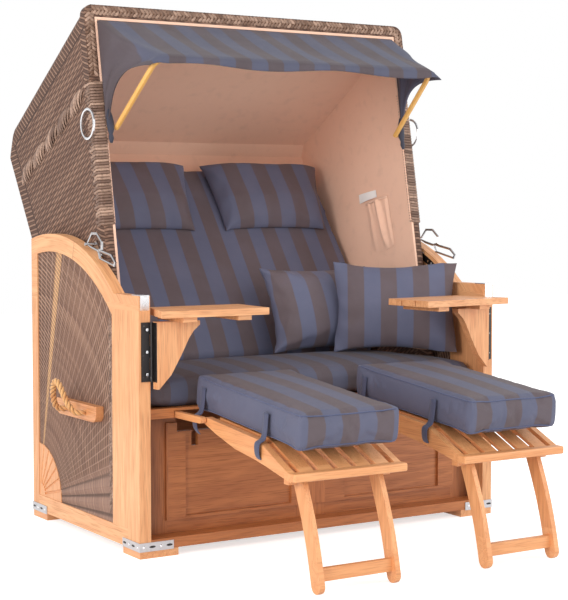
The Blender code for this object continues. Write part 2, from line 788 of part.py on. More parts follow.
def seat_deck(root):
    """Board under the seat cushion, with the front rail in pieces between the footrests."""
    front_y = SEAT_FRONT_Y
    step_y = SEAT_FRONT_Y + SEAT_WIDE_DEPTH
    wide = seat_half_width(front_y, GAP)
    narrow = seat_half_width(DECK_REAR_Y, GAP)
    outline = [(-wide, front_y), (wide, front_y), (wide, step_y), (narrow, step_y),
               (narrow, DECK_REAR_Y), (-narrow, DECK_REAR_Y), (-narrow, step_y),
               (-wide, step_y)]
    deck = slab("seat_deck", "XY", [outline], DECK_BOTTOM, DECK_BOTTOM + DECK_THICKNESS)
    half = FOOTREST_WIDTH / 2 + RUNNER_SIDE_GAP + RUNNER_WIDTH + SLOT_SIDE_GAP
    left, right = FOOTREST_X["left"], FOOTREST_X["right"]
    z = (PANEL_TOP + GAP, DECK_BOTTOM + DECK_THICKNESS / 2)
    y = (front_y, front_y + SEAT_RAIL_THICKNESS)
    for x in ((-wide, left - half), (left + half, right - half), (right + half, wide)):
        join(deck, box("rail", x, y, z))
    finish(deck, TEAK, root, smooth=False)


def cross_boards(root):
    """Plinth rail under the front panel and panel at the back."""
    y = (0, PANEL_FACE_Y + PANEL_MOULDING + PANEL_BOARD)
    plinth = box("plinth_rail", BETWEEN_POSTS, y, (FOOT_HEIGHT, PLINTH_TOP))
    finish(plinth, TEAK, root, smooth=False)
    rear_y = (REAR_STILE_Y + GAP, REAR_STILE_Y + REAR_PANEL_THICKNESS)
    rear = box("back_panel", BETWEEN_POSTS, rear_y, (FOOT_HEIGHT, REAR_PANEL_TOP))
    finish(rear, TEAK, root, smooth=False)


BRACKET_EDGE_SHARES = ((0.05, 0.0), (0.33, 0.21), (0.56, 0.49), (0.74, 0.74), (0.85, 0.85),
                       (1.0, 0.94))
TABLE_BATTEN_SHARES = (0.21, 0.72)


def knuckles(side, own):
    """Every second knuckle of a hinge, from the first or the second one up."""
    step = (HINGE_TOP - HINGE_BOTTOM) / KNUCKLES
    made = []
    for index in range(own, KNUCKLES, 2):
        low = HINGE_BOTTOM + index * step + RUNNING_FIT / 2
        high = low + step - RUNNING_FIT
        place = (side * HINGE_X, HINGE_Y)
        made.append((rod("knuckle", (*place, low), (*place, high), KNUCKLE_RADIUS), low, high))
    return made


def fixed_leaf(name, side, root):
    """Hinge leaf on the front of the post, with its knuckles and the pin."""
    near = HINGE_X + KNUCKLE_RADIUS + RUNNING_FIT
    y = (-GAP - LEAF_THICKNESS, -GAP)
    x = span(side, near, HINGE_X + LEAF_WIDTH)
    leaf = box("hinge_leaf_" + name, x, y, (HINGE_BOTTOM, HINGE_TOP))
    for knuckle, low, high in knuckles(side, 0):
        tab = box("tab", span(side, HINGE_X, near + RUNNING_FIT), y, (low, high))
        join(leaf, join(knuckle, tab))
    place = (side * HINGE_X, HINGE_Y)
    join(leaf, rod("pin", (*place, HINGE_BOTTOM + RUNNING_FIT), (*place, HINGE_TOP - RUNNING_FIT),
                   HINGE_PIN_RADIUS, SMALL_ROUND))
    finish(leaf, BLACK_STEEL, root)


def table(name, side, root):
    """Slatted side table, its bracket and its hinge leaf, on the hinge's upright axis."""
    axis = empty("table_axis_" + name, (side * HINGE_X, HINGE_Y, HINGE_BOTTOM), root)
    free = TABLE_END_FRONT + TABLE_LENGTH
    rear = TABLE_FRONT - TABLE_WIDTH

    def place(u, v):
        return (side * (HINGE_X - u), HINGE_Y - v)

    def hinge_end(v):
        share = (TABLE_FRONT - v) / TABLE_WIDTH
        return TABLE_END_FRONT + (TABLE_END_REAR - TABLE_END_FRONT) * share

    slat_bottom = TABLE_TOP - TABLE_SLAT_THICKNESS
    slat_width = (TABLE_WIDTH - (TABLE_SLATS - 1) * TABLE_SLAT_GAP) / TABLE_SLATS
    slats = []
    for index in range(TABLE_SLATS):
        low = rear + index * (slat_width + TABLE_SLAT_GAP)
        high = low + slat_width
        outline = [place(hinge_end(low), low), place(free, low), place(free, high),
                   place(hinge_end(high), high)]
        slats.append(slab("slat", "XY", [outline], slat_bottom, TABLE_TOP))
    top = slats[0]
    top.name = "table_" + name
    batten_bottom = slat_bottom - TABLE_BATTEN_HEIGHT
    for share in TABLE_BATTEN_SHARES:
        u = TABLE_END_FRONT + TABLE_LENGTH * share
        corners = [place(u, rear + TABLE_BATTEN_SETBACK),
                   place(u + TABLE_BATTEN_WIDTH, TABLE_FRONT - TABLE_BATTEN_SETBACK)]
        x = sorted(corner[0] for corner in corners)
        y = sorted(corner[1] for corner in corners)
        z = (batten_bottom, slat_bottom + TABLE_SLAT_THICKNESS / 4)
        join(top, box("batten", x, y, z))
    join(top, *slats[1:])
    finish(rounded(top, CAP_THICKNESS / 2), TEAK, axis)

    start = KNUCKLE_RADIUS + RUNNING_FIT + GAP
    height = batten_bottom - GAP - BRACKET_BOTTOM
    edge = [
        (side * (HINGE_X - start - BRACKET_LENGTH * share_u), BRACKET_BOTTOM + height * share_z)
        for share_u, share_z in BRACKET_EDGE_SHARES
    ]
    high = batten_bottom - GAP
    outline = [(side * (HINGE_X - start), BRACKET_BOTTOM), *edge,
               (side * (HINGE_X - start - BRACKET_LENGTH), high),
               (side * (HINGE_X - start), high)]
    y = (HINGE_Y - GAP - BRACKET_THICKNESS, HINGE_Y - GAP)
    bracket = slab("table_bracket_" + name, "XZ", [outline], *y)
    finish(rounded(bracket, CAP_THICKNESS), TEAK, axis)

    leaf_x = span(side, HINGE_X - start + GAP, HINGE_X - start + GAP + LEAF_THICKNESS)
    near_y = HINGE_Y - KNUCKLE_RADIUS - RUNNING_FIT
    leaf = box("table_hinge_" + name, leaf_x, (y[0], near_y), (HINGE_BOTTOM, HINGE_TOP))
    for knuckle, low, high in knuckles(side, 1):
        tab = box("tab", leaf_x, (near_y - RUNNING_FIT, HINGE_Y), (low, high))
        join(leaf, join(knuckle, tab))
        bore = HINGE_PIN_RADIUS + RUNNING_FIT
        pin = (side * HINGE_X, HINGE_Y)
        cut(leaf, rod("bore", (*pin, low - OVERRUN / 4), (*pin, high + OVERRUN / 4), bore,
                      SMALL_ROUND))
    finish(leaf, BLACK_STEEL, axis)
    axis.rotation_euler.z = side * TABLE_TURN[name]


BELLY_SHARES = ((0.72, 0.82), (0.6, 1.0), (0.36, 0.92), (0.12, 0.6))


def footrest_top(y):
    """Height of the slats' top over the floor at a place along the footrest."""
    rear_z = FOOTREST_PIVOT_Z + FOOTREST_END_RADIUS
    if y > FOOTREST_BEND_Y:
        share = (FOOTREST_PIVOT_Y - y) / (FOOTREST_PIVOT_Y - FOOTREST_BEND_Y)
        return rear_z + (FOOTREST_BEND_Z - rear_z) * share
    share = (FOOTREST_BEND_Y - y) / (FOOTREST_BEND_Y - FOOTREST_FRONT_Y)
    return FOOTREST_BEND_Z + (FOOTREST_FRONT_Z - FOOTREST_BEND_Z) * share


def footrest_frame(name, centre, axis):
    """Side boards, cross boards, slats and front rail of one footrest."""
    pivot = (FOOTREST_PIVOT_Y, FOOTREST_PIVOT_Z)
    length = FOOTREST_PIVOT_Y - FOOTREST_FRONT_Y
    bottom = [(FOOTREST_FRONT_Y, FOOTREST_FRONT_Z - FOOTREST_TIP_HEIGHT)]
    for share, depth in BELLY_SHARES:
        y = FOOTREST_PIVOT_Y - length * share
        bottom.append((y, footrest_top(y) - FOOTREST_BELLY * depth))
    outline = [
        *bottom,
        *arc(pivot, FOOTREST_END_RADIUS, -math.pi / 2, math.pi / 2, 6),
        (FOOTREST_BEND_Y, FOOTREST_BEND_Z),
        (FOOTREST_FRONT_Y, FOOTREST_FRONT_Z),
    ]
    half = FOOTREST_WIDTH / 2
    inner = half - FOOTREST_BOARD
    boards = [
        slab("board", "YZ", [outline], *sorted((centre + way * inner, centre + way * half)))
        for way in SIDES.values()
    ]
    frame = boards[0]
    frame.name = "footrest_frame_" + name
    across = (centre - inner - OVERRUN, centre + inner + OVERRUN)
    thin = FOOTREST_SLAT_THICKNESS
    for y in (FOOTREST_PIVOT_Y - FOOTREST_CROSS_WIDTH, FOOTREST_BEND_Y + FOOTREST_CROSS_WIDTH / 2):
        high = footrest_top(y) - thin * 3 / 4
        if y < FOOTREST_BEND_Y + FOOTREST_CROSS_WIDTH:
            high = footrest_top(y - FOOTREST_CROSS_WIDTH) - thin / 2
        z = (high - FOOTREST_CROSS_THICKNESS, high)
        join(frame, box("cross", across, (y - FOOTREST_CROSS_WIDTH, y), z))
    join(frame, boards[1])
    pitch = (inner * 2 - FOOTREST_SLATS * FOOTREST_SLAT_WIDTH) / (FOOTREST_SLATS + 1)
    rear = FOOTREST_PIVOT_Y - FOOTREST_CROSS_WIDTH / 2
    line = [(y, footrest_top(y)) for y in (FOOTREST_FRONT_Y, FOOTREST_BEND_Y, rear)]
    strip = [*line, *[(y, z - thin) for y, z in line[::-1]]]
    for index in range(FOOTREST_SLATS):
        low = centre - inner + pitch + index * (FOOTREST_SLAT_WIDTH + pitch)
        join(frame, slab("slat", "YZ", [strip], low, low + FOOTREST_SLAT_WIDTH))
    rail_y = (FOOTREST_FRONT_Y - FRONT_RAIL_DEPTH / 2, FOOTREST_FRONT_Y + FRONT_RAIL_DEPTH / 2)
    rail_top = FOOTREST_FRONT_Z + FRONT_RAIL_HEIGHT / 3
    rail = box("rail", (centre - half - REST_GAP, centre + half + REST_GAP), rail_y,
               (rail_top - FRONT_RAIL_HEIGHT, rail_top))
    join(frame, rounded(rail, FAN_GROOVE, 2))
    bore = LEG_ROD_RADIUS + RUNNING_FIT
    for way in SIDES.values():
        near = LEG_HALF_SPACING + LEG_THICKNESS
        x = sorted((centre + way * near, centre + way * (inner + OVERRUN / 4)))
        lug = box("lug", x, (LEG_PIVOT_Y - LEG_LUG, LEG_PIVOT_Y + LEG_LUG),
                  (LEG_PIVOT_Z - LEG_LUG, LEG_PIVOT_Z + LEG_WIDTH / 2))
        join(frame, lug)
        bore_x = sorted((centre + way * (near - OVERRUN), centre + way * (inner - GAP * 2)))
        pivot_line = [(x_place, LEG_PIVOT_Y, LEG_PIVOT_Z) for x_place in bore_x]
        cut(frame, rod("bore", *pivot_line, bore))
    hole = RUNNER_BAR_RADIUS + RUNNING_FIT
    ends = [(centre + way * (half + OVERRUN / 5), *pivot) for way in SIDES.values()]
    cut(frame, rod("bore", *ends, hole))
    finish(frame, TEAK, axis, (centre, *pivot))


def ribbon(points, half):
    """Outline of a bent board with round ends: points run down its middle."""
    left, right = [], []
    for index, here in enumerate(points):
        before = Vector(points[max(index - 1, 0)])
        after = Vector(points[min(index + 1, len(points) - 1)])
        along = (after - before).normalized()
        normal = Vector((-along.y, along.x))
        left.append(tuple(Vector(here) + normal * half))
        right.append(tuple(Vector(here) - normal * half))
    foot = Vector(points[-1]) - Vector(points[-2])
    head = Vector(points[0]) - Vector(points[1])
    foot_angle = math.atan2(foot.y, foot.x)
    head_angle = math.atan2(head.y, head.x)
    quarter = math.pi / 2
    foot_end = arc(points[-1], half, foot_angle + quarter, foot_angle - quarter, 8)[1:-1]
    head_end = arc(points[0], half, head_angle + quarter, head_angle - quarter, 8)[1:-1]
    return [*left, *foot_end, *right[::-1], *head_end]


def footrest_legs(name, centre, axis):
    """Two bowed legs with a stretcher, on a rod through the lugs of the frame."""
    pivot = (LEG_PIVOT_Y, LEG_PIVOT_Z)
    half = LEG_WIDTH / 2
    middle = []
    for step in range(LEG_STEPS + 1):
        share = step / LEG_STEPS
        y = LEG_PIVOT_Y + (LEG_FOOT_Y - LEG_PIVOT_Y) * share
        y -= LEG_BOW * math.sin(math.pi * share)
        middle.append((y, LEG_PIVOT_Z + (half - LEG_PIVOT_Z) * share))
    outline = ribbon(middle, half)
    legs = []
    for way in SIDES.values():
        x = centre + way * LEG_HALF_SPACING
        leg = slab("leg", "YZ", [outline], x - LEG_THICKNESS / 2, x + LEG_THICKNESS / 2)
        legs.append(leg)
    made = legs[0]
    made.name = "footrest_legs_" + name
    share = (LEG_PIVOT_Z - STRETCHER_BOTTOM - STRETCHER_HEIGHT / 2) / (LEG_PIVOT_Z - half)
    y = LEG_PIVOT_Y + (LEG_FOOT_Y - LEG_PIVOT_Y) * share - LEG_BOW * math.sin(math.pi * share)
    across = (centre - LEG_HALF_SPACING, centre + LEG_HALF_SPACING)
    stretcher = box("stretcher", across,
                    (y - STRETCHER_THICKNESS / 2, y + STRETCHER_THICKNESS / 2),
                    (STRETCHER_BOTTOM, STRETCHER_BOTTOM + STRETCHER_HEIGHT))
    join(made, stretcher, legs[1])
    reach = FOOTREST_WIDTH / 2 - FOOTREST_BOARD - RUNNING_FIT * 2
    ends = [(centre + way * reach, *pivot) for way in SIDES.values()]
    join(made, rod("rod", *ends, LEG_ROD_RADIUS))
    finish(made, TEAK, axis, (centre, *pivot))


def runner(name, centre, axis):
    """Two round-ended battens that slide under the seat, with the bar the frame turns on."""
    near = FOOTREST_WIDTH / 2 + RUNNER_SIDE_GAP
    low = PANEL_TOP + GAP
    radius = RUNNER_HEIGHT / 2
    nose = arc((FOOTREST_PIVOT_Y, low + radius), radius, math.pi / 2, math.pi * 1.5, 8)
    outline = [*nose, (RUNNER_REAR_Y, low), (RUNNER_REAR_Y, low + RUNNER_HEIGHT)]
    battens = []
    for way in SIDES.values():
        x = sorted((centre + way * near, centre + way * (near + RUNNER_WIDTH)))
        battens.append(slab("batten", "YZ", [outline], *x))
    made = battens[0]
    made.name = "footrest_runner_" + name
    reach = near + RUNNER_WIDTH / 2
    ends = [(centre + way * reach, FOOTREST_PIVOT_Y, FOOTREST_PIVOT_Z) for way in SIDES.values()]
    join(made, rod("bar", *ends, RUNNER_BAR_RADIUS), battens[1])
    finish(made, TEAK, axis, (centre, FOOTREST_PIVOT_Y, FOOTREST_PIVOT_Z))


LEVER_LOOP_SHARES = ((0, 0), (-0.62, 0.64), (-1.3, 0.64), (-1.96, 0.16), (-1.96, -0.24),
                     (-1.4, -0.36), (-0.6, -0.2))
LEVER_GRIP_SHARES = ((-1.5, -0.32), (-2.06, -0.4), (-3.2, -0.58), (-3.7, -0.96),
                     (-3.58, -1.16), (-1.7, -0.8))
LEVER_HOOK_SHARES = ((0, 0), (-0.28, -0.32), (-0.56, -0.64))
BACK_LEAN = math.atan2(HOOD_NAPE_Y - HOOD_BACK_Y, HOOD_NAPE_Z - HOOD_BACK_Z)
LINING_INSET = HOOD_SHELL + HOOD_LINER


def hood_front_y(z):
    """The hood's raked front edge."""
    return HOOD_FRONT_Y + (z - HOOD_FRONT_Z) * math.tan(HOOD_RAKE)


def hood_outline(bottom):
    """Side view of the hood's outside, down to a height at the front."""
    return [
        (hood_front_y(bottom), bottom),
        (HOOD_BACK_Y, HOOD_BACK_Z),
        (HOOD_NAPE_Y, HOOD_NAPE_Z),
        (HOOD_SHOULDER_Y, HOOD_SHOULDER_Z),
        (hood_front_y(HOOD_TOP), HOOD_TOP),
    ]


def hood_room(depth):
    """Side view of the room inside the hood, at a depth under its outside."""
    _, back, nape, shoulder, top = inset(hood_outline(HOOD_FRONT_BOTTOM_Z), depth)
    forward = Vector(top) + (Vector(top) - Vector(shoulder)).normalized() * BASE_DEPTH
    down = Vector(back) + (Vector(back) - Vector(nape)).normalized() * BASE_DEPTH / 2
    return [(-BASE_DEPTH, 0), tuple(down), nape, shoulder, tuple(forward),
            (-BASE_DEPTH, forward.y)]


def in_front_plane(obj):
    """Move a piece that was drawn upright into the plane of the hood's raked front."""
    place = Matrix.Translation((0, HOOD_FRONT_Y, HOOD_FRONT_Z))
    obj.data.transform(place @ Matrix.Rotation(-HOOD_RAKE, 4, "X"))
    return obj


def along_front(z):
    """Distance along the raked front plane of a height."""
    return (z - HOOD_FRONT_Z) / math.cos(HOOD_RAKE)


def hood_shell(hood):
    """Wicker shell: side walls, roof and back, with lobes down to the pivots."""
    half = HOOD_HALF_WIDTH
    inner = half - HOOD_SHELL
    shell = slab("hood_shell", "YZ", [hood_outline(HOOD_FRONT_BOTTOM_Z)], -half, half)
    rounded(shell, HOOD_EDGE_ROUND, 2)
    front = hood_front_y(HOOD_FRONT_BOTTOM_Z) + HOOD_EDGE_ROUND
    high = HOOD_BACK_Z + HOOD_EDGE_ROUND * 1.5
    lobe = [
        (front, HOOD_BACK_Z + REST_GAP),
        (front, high),
        (HOOD_BACK_Y, high),
        *arc(PIVOT, HOOD_LOBE_RADIUS, 0, -math.pi * 0.75, HOOD_LOBE_STEPS),
    ]
    for side in SIDES.values():
        join(shell, slab("lobe", "YZ", [lobe], *span(side, inner - OVERRUN, half - REST_GAP)))
    cut(shell, slab("room", "YZ", [hood_room(HOOD_SHELL)], -inner, inner))
    low_y = (-BASE_DEPTH, BASE_DEPTH)
    below = (0, HOOD_BACK_Z + HOOD_EDGE_ROUND / 3)
    cut(shell, box("below", (-inner, inner), low_y, below))
    high = along_front(HOOD_TOP) + OVERRUN
    braid_room = box("braid_room", (-half - OVERRUN, half + OVERRUN),
                     (-OVERRUN, BRAID_DEPTH + GAP), (along_front(BRAID_BOTTOM) - GAP, high))
    cut(shell, in_front_plane(braid_room))
    hole = PIVOT_BOLT_RADIUS + RUNNING_FIT
    for side in SIDES.values():
        ends = [(side * (inner - OVERRUN), *PIVOT), (side * (half + OVERRUN / 2), *PIVOT)]
        cut(shell, rod("hole", *ends, hole))
    finish(shell, WICKER, hood)


def hood_liner(hood):
    """Cloth skin inside the shell."""
    bottom = DECK_BOTTOM + SEAT_CUSHION_EDGE + SEAT_CUSHION_CROWN
    outer = HOOD_HALF_WIDTH - HOOD_SHELL - GAP
    inner = HOOD_HALF_WIDTH - LINING_INSET
    _, back, nape, shoulder, top = inset(hood_outline(bottom), HOOD_SHELL + GAP)
    roof = Vector(shoulder) - Vector(top)
    reach = (top[0] - hood_front_y(top[1]) - GAP) / (1 + math.tan(HOOD_RAKE) * -roof.y / roof.x)
    top = (top[0] - reach, top[1] - reach * roof.y / roof.x)
    lean = math.tan(BACK_LEAN)
    back = (nape[0] - (nape[1] - bottom) * lean, bottom)
    outline = [(hood_front_y(bottom) + GAP, bottom), back, nape, shoulder, top]
    liner = slab("hood_liner", "YZ", [outline], -outer, outer)
    cut(liner, slab("room", "YZ", [hood_room(LINING_INSET)], -inner, inner))
    finish(liner, LINING, hood, smooth=False)


def hood_braid(hood):
    """Braided roll round the top of the hood's front."""
    outer = HOOD_HALF_WIDTH + BRAID_BULGE
    inner = HOOD_HALF_WIDTH - HOOD_SHELL + GAP * 2
    low = along_front(BRAID_BOTTOM)
    high = along_front(HOOD_TOP) + BRAID_BULGE
    under = high - BRAID_WIDTH
    corner = BRAID_CORNER
    quarter = math.pi / 2
    outline = [
        (outer, low),
        *arc((outer - corner, high - corner), corner, 0, quarter, 5),
        *arc((corner - outer, high - corner), corner, quarter, quarter * 2, 5),
        (-outer, low),
        (-inner, low),
        (-inner, under),
        (inner, under),
        (inner, low),
    ]
    braid = slab("hood_braid", "XZ", [outline], 0, BRAID_DEPTH)
    rounded(braid, FAN_GROOVE, 2)
    finish(in_front_plane(braid), WICKER, hood)


def ring(name, side, hood):
    """Ring on the outside of the hood, hanging from a pin."""
    x = HOOD_HALF_WIDTH + GAP + RING_STAPLE + RING_WIRE
    place = (side * x, RING_Y, RING_TOP_Z)
    axis = empty("ring_axis_" + name, place, hood)
    circle = arc((RING_Y, RING_TOP_Z - RING_RADIUS), RING_RADIUS, 0, math.tau, ROUND + SMALL_ROUND)
    made = tube("hood_ring_" + name, [(side * x, *point) for point in circle[:-1]], RING_WIRE,
                closed=True)
    pin = rod("pin", (side * (HOOD_HALF_WIDTH + GAP), RING_Y, RING_TOP_Z), place, RING_WIRE)
    finish(join(made, pin), STEEL, axis, place)


def lever(name, side, hood):
    """Latch lever: a rod through the hood's wall, two wire loops and a hook plate."""
    axis = empty("latch_axis_" + name, (side * HOOD_HALF_WIDTH, LEVER_Y, LEVER_Z), hood)
    x = side * (HOOD_HALF_WIDTH + LEVER_OFFSET)

    def wire(shares):
        return [(x, LEVER_Y + LEVER_REACH * y, LEVER_Z + LEVER_REACH * z) for y, z in shares]

    made = tube("latch_lever_" + name, wire(LEVER_LOOP_SHARES), LEVER_WIRE, closed=True)
    grip = tube("grip", wire(LEVER_GRIP_SHARES), LEVER_WIRE, closed=True)
    start = (side * (HOOD_HALF_WIDTH + GAP), LEVER_Y, LEVER_Z)
    end = (side * (HOOD_HALF_WIDTH + LEVER_OFFSET + LEVER_WIRE * 2), LEVER_Y, LEVER_Z)
    bar = rod("bar", start, end, LEVER_WIRE * 1.2)
    plate_x = HOOD_HALF_WIDTH + GAP * 4
    middle = [(LEVER_Y + LEVER_REACH * y, LEVER_Z + LEVER_REACH * z) for y, z in LEVER_HOOK_SHARES]
    hook = slab("hook", "YZ", [ribbon(middle, LEVER_HOOK_WIDTH / 2)],
                *span(side, plate_x, plate_x + LEVER_HOOK_THICKNESS))
    finish(join(made, grip, bar, hook), STEEL, axis)


def bow_line(lift=0.0, spread=0.0, steps=5):
    """Points along the bow from the right foot to the left, moved out of its line."""
    foot = Vector((BOW_FOOT_X + spread, BOW_FOOT_Y, BOW_FOOT_Z))
    corner = Vector((BOW_HALF_WIDTH + spread, BOW_FRONT_Y, BOW_FRONT_Z + lift))
    before = corner + (foot - corner).normalized() * BOW_BEND
    after = corner - Vector((BOW_BEND, 0, 0))
    half = [foot]
    for step in range(steps + 1):
        share = step / steps
        first = before.lerp(corner, share)
        half.append(first.lerp(corner.lerp(after, share), share))
    return half + [Vector((-point.x, point.y, point.z)) for point in half[::-1]]


def awning_bow(axis):
    """Bent lath with a pin at each foot."""
    bow = tube("awning_bow", [tuple(point) for point in bow_line()], BOW_RADIUS)
    reach = HOOD_HALF_WIDTH - LINING_INSET - GAP
    for side in SIDES.values():
        foot = (side * BOW_FOOT_X, BOW_FOOT_Y, BOW_FOOT_Z)
        join(bow, rod("pin", foot, (side * reach, BOW_FOOT_Y, BOW_FOOT_Z), BOW_PIN_RADIUS,
                      SMALL_ROUND))
    finish(bow, BOW_WOOD, axis, (0, BOW_FOOT_Y, BOW_FOOT_Z))


def along(points, share):
    """A point at a share of the length of a line of points."""
    lengths = [(b - a).length for a, b in zip(points, points[1:])]
    left = share * sum(lengths)
    for start, end, length in zip(points, points[1:], lengths):
        if left <= length:
            return start.lerp(end, left / length)
        left -= length
    return points[-1].copy()


CLOTH_COLUMNS = 36
CLOTH_ROWS = 6
CLOTH_CORNER_SHARE = 0.2
CLOTH_FOOT_SHARE = 0.12
CLOTH_TOP_Z = 1.535
CLOTH_FOOT_Z = 1.245


def awning_cloth(hood):
    """Awning from the hood's front edge over the bow, with side flaps and a short hem."""
    ahead = CLOTH_THICKNESS / 2 - REST_GAP
    edge = []
    for x, z in ((1, CLOTH_FOOT_Z), (1, CLOTH_TOP_Z), (-1, CLOTH_TOP_Z), (-1, CLOTH_FOOT_Z)):
        edge.append(Vector((x * CLOTH_EDGE_X, hood_front_y(z) - ahead, z)))
    bow = bow_line(CLOTH_LIFT, CLOTH_LIFT)
    right_foot = bow[0].lerp(bow[1], CLOTH_FOOT_SHARE)
    left_foot = bow[-1].lerp(bow[-2], CLOTH_FOOT_SHARE)
    bow = [right_foot, *bow[1:-1], left_foot]
    edge_side = (edge[1] - edge[0]).length / sum((b - a).length for a, b in zip(edge, edge[1:]))
    arm = (BOW_FRONT_Y - BOW_FOOT_Y, BOW_FRONT_Z - BOW_FOOT_Z)
    bow_side = math.hypot(*arm) * (1 - CLOTH_FOOT_SHARE)
    bow_side /= sum((b - a).length for a, b in zip(bow, bow[1:]))

    def share_of(t, side_share):
        """Where a column lies along a line whose ends are its side stretches."""
        if t < CLOTH_CORNER_SHARE:
            return t / CLOTH_CORNER_SHARE * side_share
        if t > 1 - CLOTH_CORNER_SHARE:
            return 1 - (1 - t) / CLOTH_CORNER_SHARE * side_share
        middle = (t - CLOTH_CORNER_SHARE) / (1 - CLOTH_CORNER_SHARE * 2)
        return side_share + middle * (1 - side_share * 2)

    bm = bmesh.new()
    bmesh.ops.create_grid(bm, x_segments=CLOTH_COLUMNS, y_segments=CLOTH_ROWS, size=0.5)
    for vert in bm.verts:
        t = vert.co.x + 0.5
        row = round((vert.co.y + 0.5) * CLOTH_ROWS)
        high = along(edge, share_of(t, edge_side))
        low = along(bow, share_of(t, bow_side))
        across = min(row / (CLOTH_ROWS - 1), 1.0)
        place = high.lerp(low, across)
        sag = math.sin(math.pi * across) * CLOTH_FOLD_DEPTH
        place.z -= sag * (1 + math.cos(math.tau * CLOTH_FOLDS * t))
        if row == CLOTH_ROWS:
            front = min(t, 1 - t) / CLOTH_CORNER_SHARE
            turn = min(max(front, 0.0), 1.0)
            place.y -= CLOTH_OVERHANG * (1.1 - 0.4 * turn) + CLOTH_THICKNESS
            place.z -= CLOTH_OVERHANG
        vert.co = place
    cloth = from_bmesh("awning_cloth", bm)
    step = cloth.modifiers.new("thickness", "SOLIDIFY")
    step.thickness = CLOTH_THICKNESS
    step.offset = 0.0
    finish(bake(cloth), STRIPES, hood)


def fade(value, power=4):
    """1 in the middle of a pad and 0 at its edge."""
    return 1 - abs(value) ** power


def seat_cushion(root):
    bottom = DECK_BOTTOM + DECK_THICKNESS + REST_GAP

    def shape(u, v, w):
        share = (v + 1) / 2
        y = SEAT_FRONT_Y + (SEAT_CUSHION_REAR_Y - SEAT_FRONT_Y) * share
        half = seat_half_width(y, CUSHION_SIDE_GAP)
        crown = SEAT_CUSHION_CROWN * (0.4 + 0.6 * share) * fade(u, 6) * fade(v)
        height = (w + 1) / 2 * SEAT_CUSHION_EDGE + (crown if w > 0 else 0)
        return (u * half, y, bottom + height)

    finish(smoothed_cage("seat_cushion", 8, 6, shape), STRIPES, root)


def on_back(x, z, height):
    """A point over the liner's back, from the height of its foot on the liner."""
    y = HOOD_BACK_Y + (z - HOOD_BACK_Z) * math.tan(BACK_LEAN) - LINING_INSET / math.cos(BACK_LEAN)
    return (x, y - height * math.cos(BACK_LEAN), z + height * math.sin(BACK_LEAN))


BACK_TOP_SHARE = 0.65


def back_cushion_height(share):
    """Thickness of the back cushion at a share of its length: thinner at the top."""
    return BACK_CUSHION_THICKNESS * (1 - (1 - BACK_TOP_SHARE) * share)


def back_cushion(hood):
    half = HOOD_HALF_WIDTH - LINING_INSET - CUSHION_SIDE_GAP
    length = BACK_CUSHION_TOP - BACK_CUSHION_BOTTOM

    def shape(u, v, w):
        share = (v + 1) / 2
        crown = BACK_CUSHION_CROWN * fade(u, 6) * fade(v)
        height = REST_GAP + (w + 1) / 2 * back_cushion_height(share) + (crown if w > 0 else 0)
        return on_back(u * half, BACK_CUSHION_BOTTOM + length * share, height)

    finish(smoothed_cage("back_cushion", 6, 5, shape), STRIPES, hood)


def headrest(name, side, hood):
    near = HEADREST_GAP / 2
    far = HOOD_HALF_WIDTH - LINING_INSET - CUSHION_SIDE_GAP
    length = BACK_CUSHION_TOP - BACK_CUSHION_BOTTOM
    high = HEADREST_HEIGHT * math.cos(BACK_LEAN)

    def shape(u, v, w):
        z = BACK_CUSHION_TOP - high * (1 - v) / 2
        share = (z - BACK_CUSHION_BOTTOM) / length
        base = back_cushion_height(share) + BACK_CUSHION_CROWN - REST_GAP
        thick = HEADREST_THICKNESS * (0.8 - 0.2 * v)
        crown = HEADREST_CROWN * fade(u, 6) * fade(v)
        height = base + (w + 1) / 2 * thick + (crown if w > 0 else 0)
        return on_back(side * (near + (far - near) * (u + 1) / 2), z, height)

    finish(smoothed_cage("headrest_" + name, 4, 3, shape), STRIPES, hood)


def footrest_cushion(name, centre, axis):
    slope = (FOOTREST_PIVOT_Z + FOOTREST_END_RADIUS - FOOTREST_BEND_Z)
    slope /= FOOTREST_PIVOT_Y - FOOTREST_BEND_Y
    rear = FOOTREST_PIVOT_Y + FOOT_CUSHION_LENGTH * FOOT_CUSHION_BEHIND_SHARE

    def shape(u, v, w):
        y = rear - FOOT_CUSHION_LENGTH * (1 - v) / 2
        base = FOOTREST_PIVOT_Z + FOOTREST_END_RADIUS + (y - FOOTREST_PIVOT_Y) * slope
        crown = FOOT_CUSHION_CROWN * fade(u) * fade(v)
        height = (w + 1) / 2 * FOOT_CUSHION_THICKNESS + (crown if w > 0 else 0)
        return (centre + u * FOOT_CUSHION_WIDTH / 2, y, base + REST_GAP + height)

    cage = smoothed_cage("footrest_cushion_" + name, 3, 4, shape)
    finish(cage, STRIPES, axis, (centre, FOOTREST_PIVOT_Y, FOOTREST_PIVOT_Z))


PILLOW_DRAW = 0.05
PILLOW_EDGE_SHARE = 0.12


def throw_pillow(name, place, turn, lean, root):
    """Loose pillow with ears, its sides drawn in between them."""
    def shape(u, v, w):
        x = u * PILLOW_WIDTH / 2 * (1 - PILLOW_DRAW * (1 - v * v))
        y = v * PILLOW_HEIGHT / 2 * (1 - PILLOW_DRAW * (1 - u * u))
        full = (fade(u, 2) * fade(v, 2)) ** 0.45
        thick = PILLOW_THICKNESS / 2 * max(full, PILLOW_EDGE_SHARE)
        return (x, y, w * thick)

    made = smoothed_cage("throw_pillow_" + name, 6, 5, shape)
    finish(made, STRIPES, root, (0, 0, 0))
    made.location = Vector(place)
    made.rotation_euler = (math.pi / 2 - lean, 0, turn)
    return made


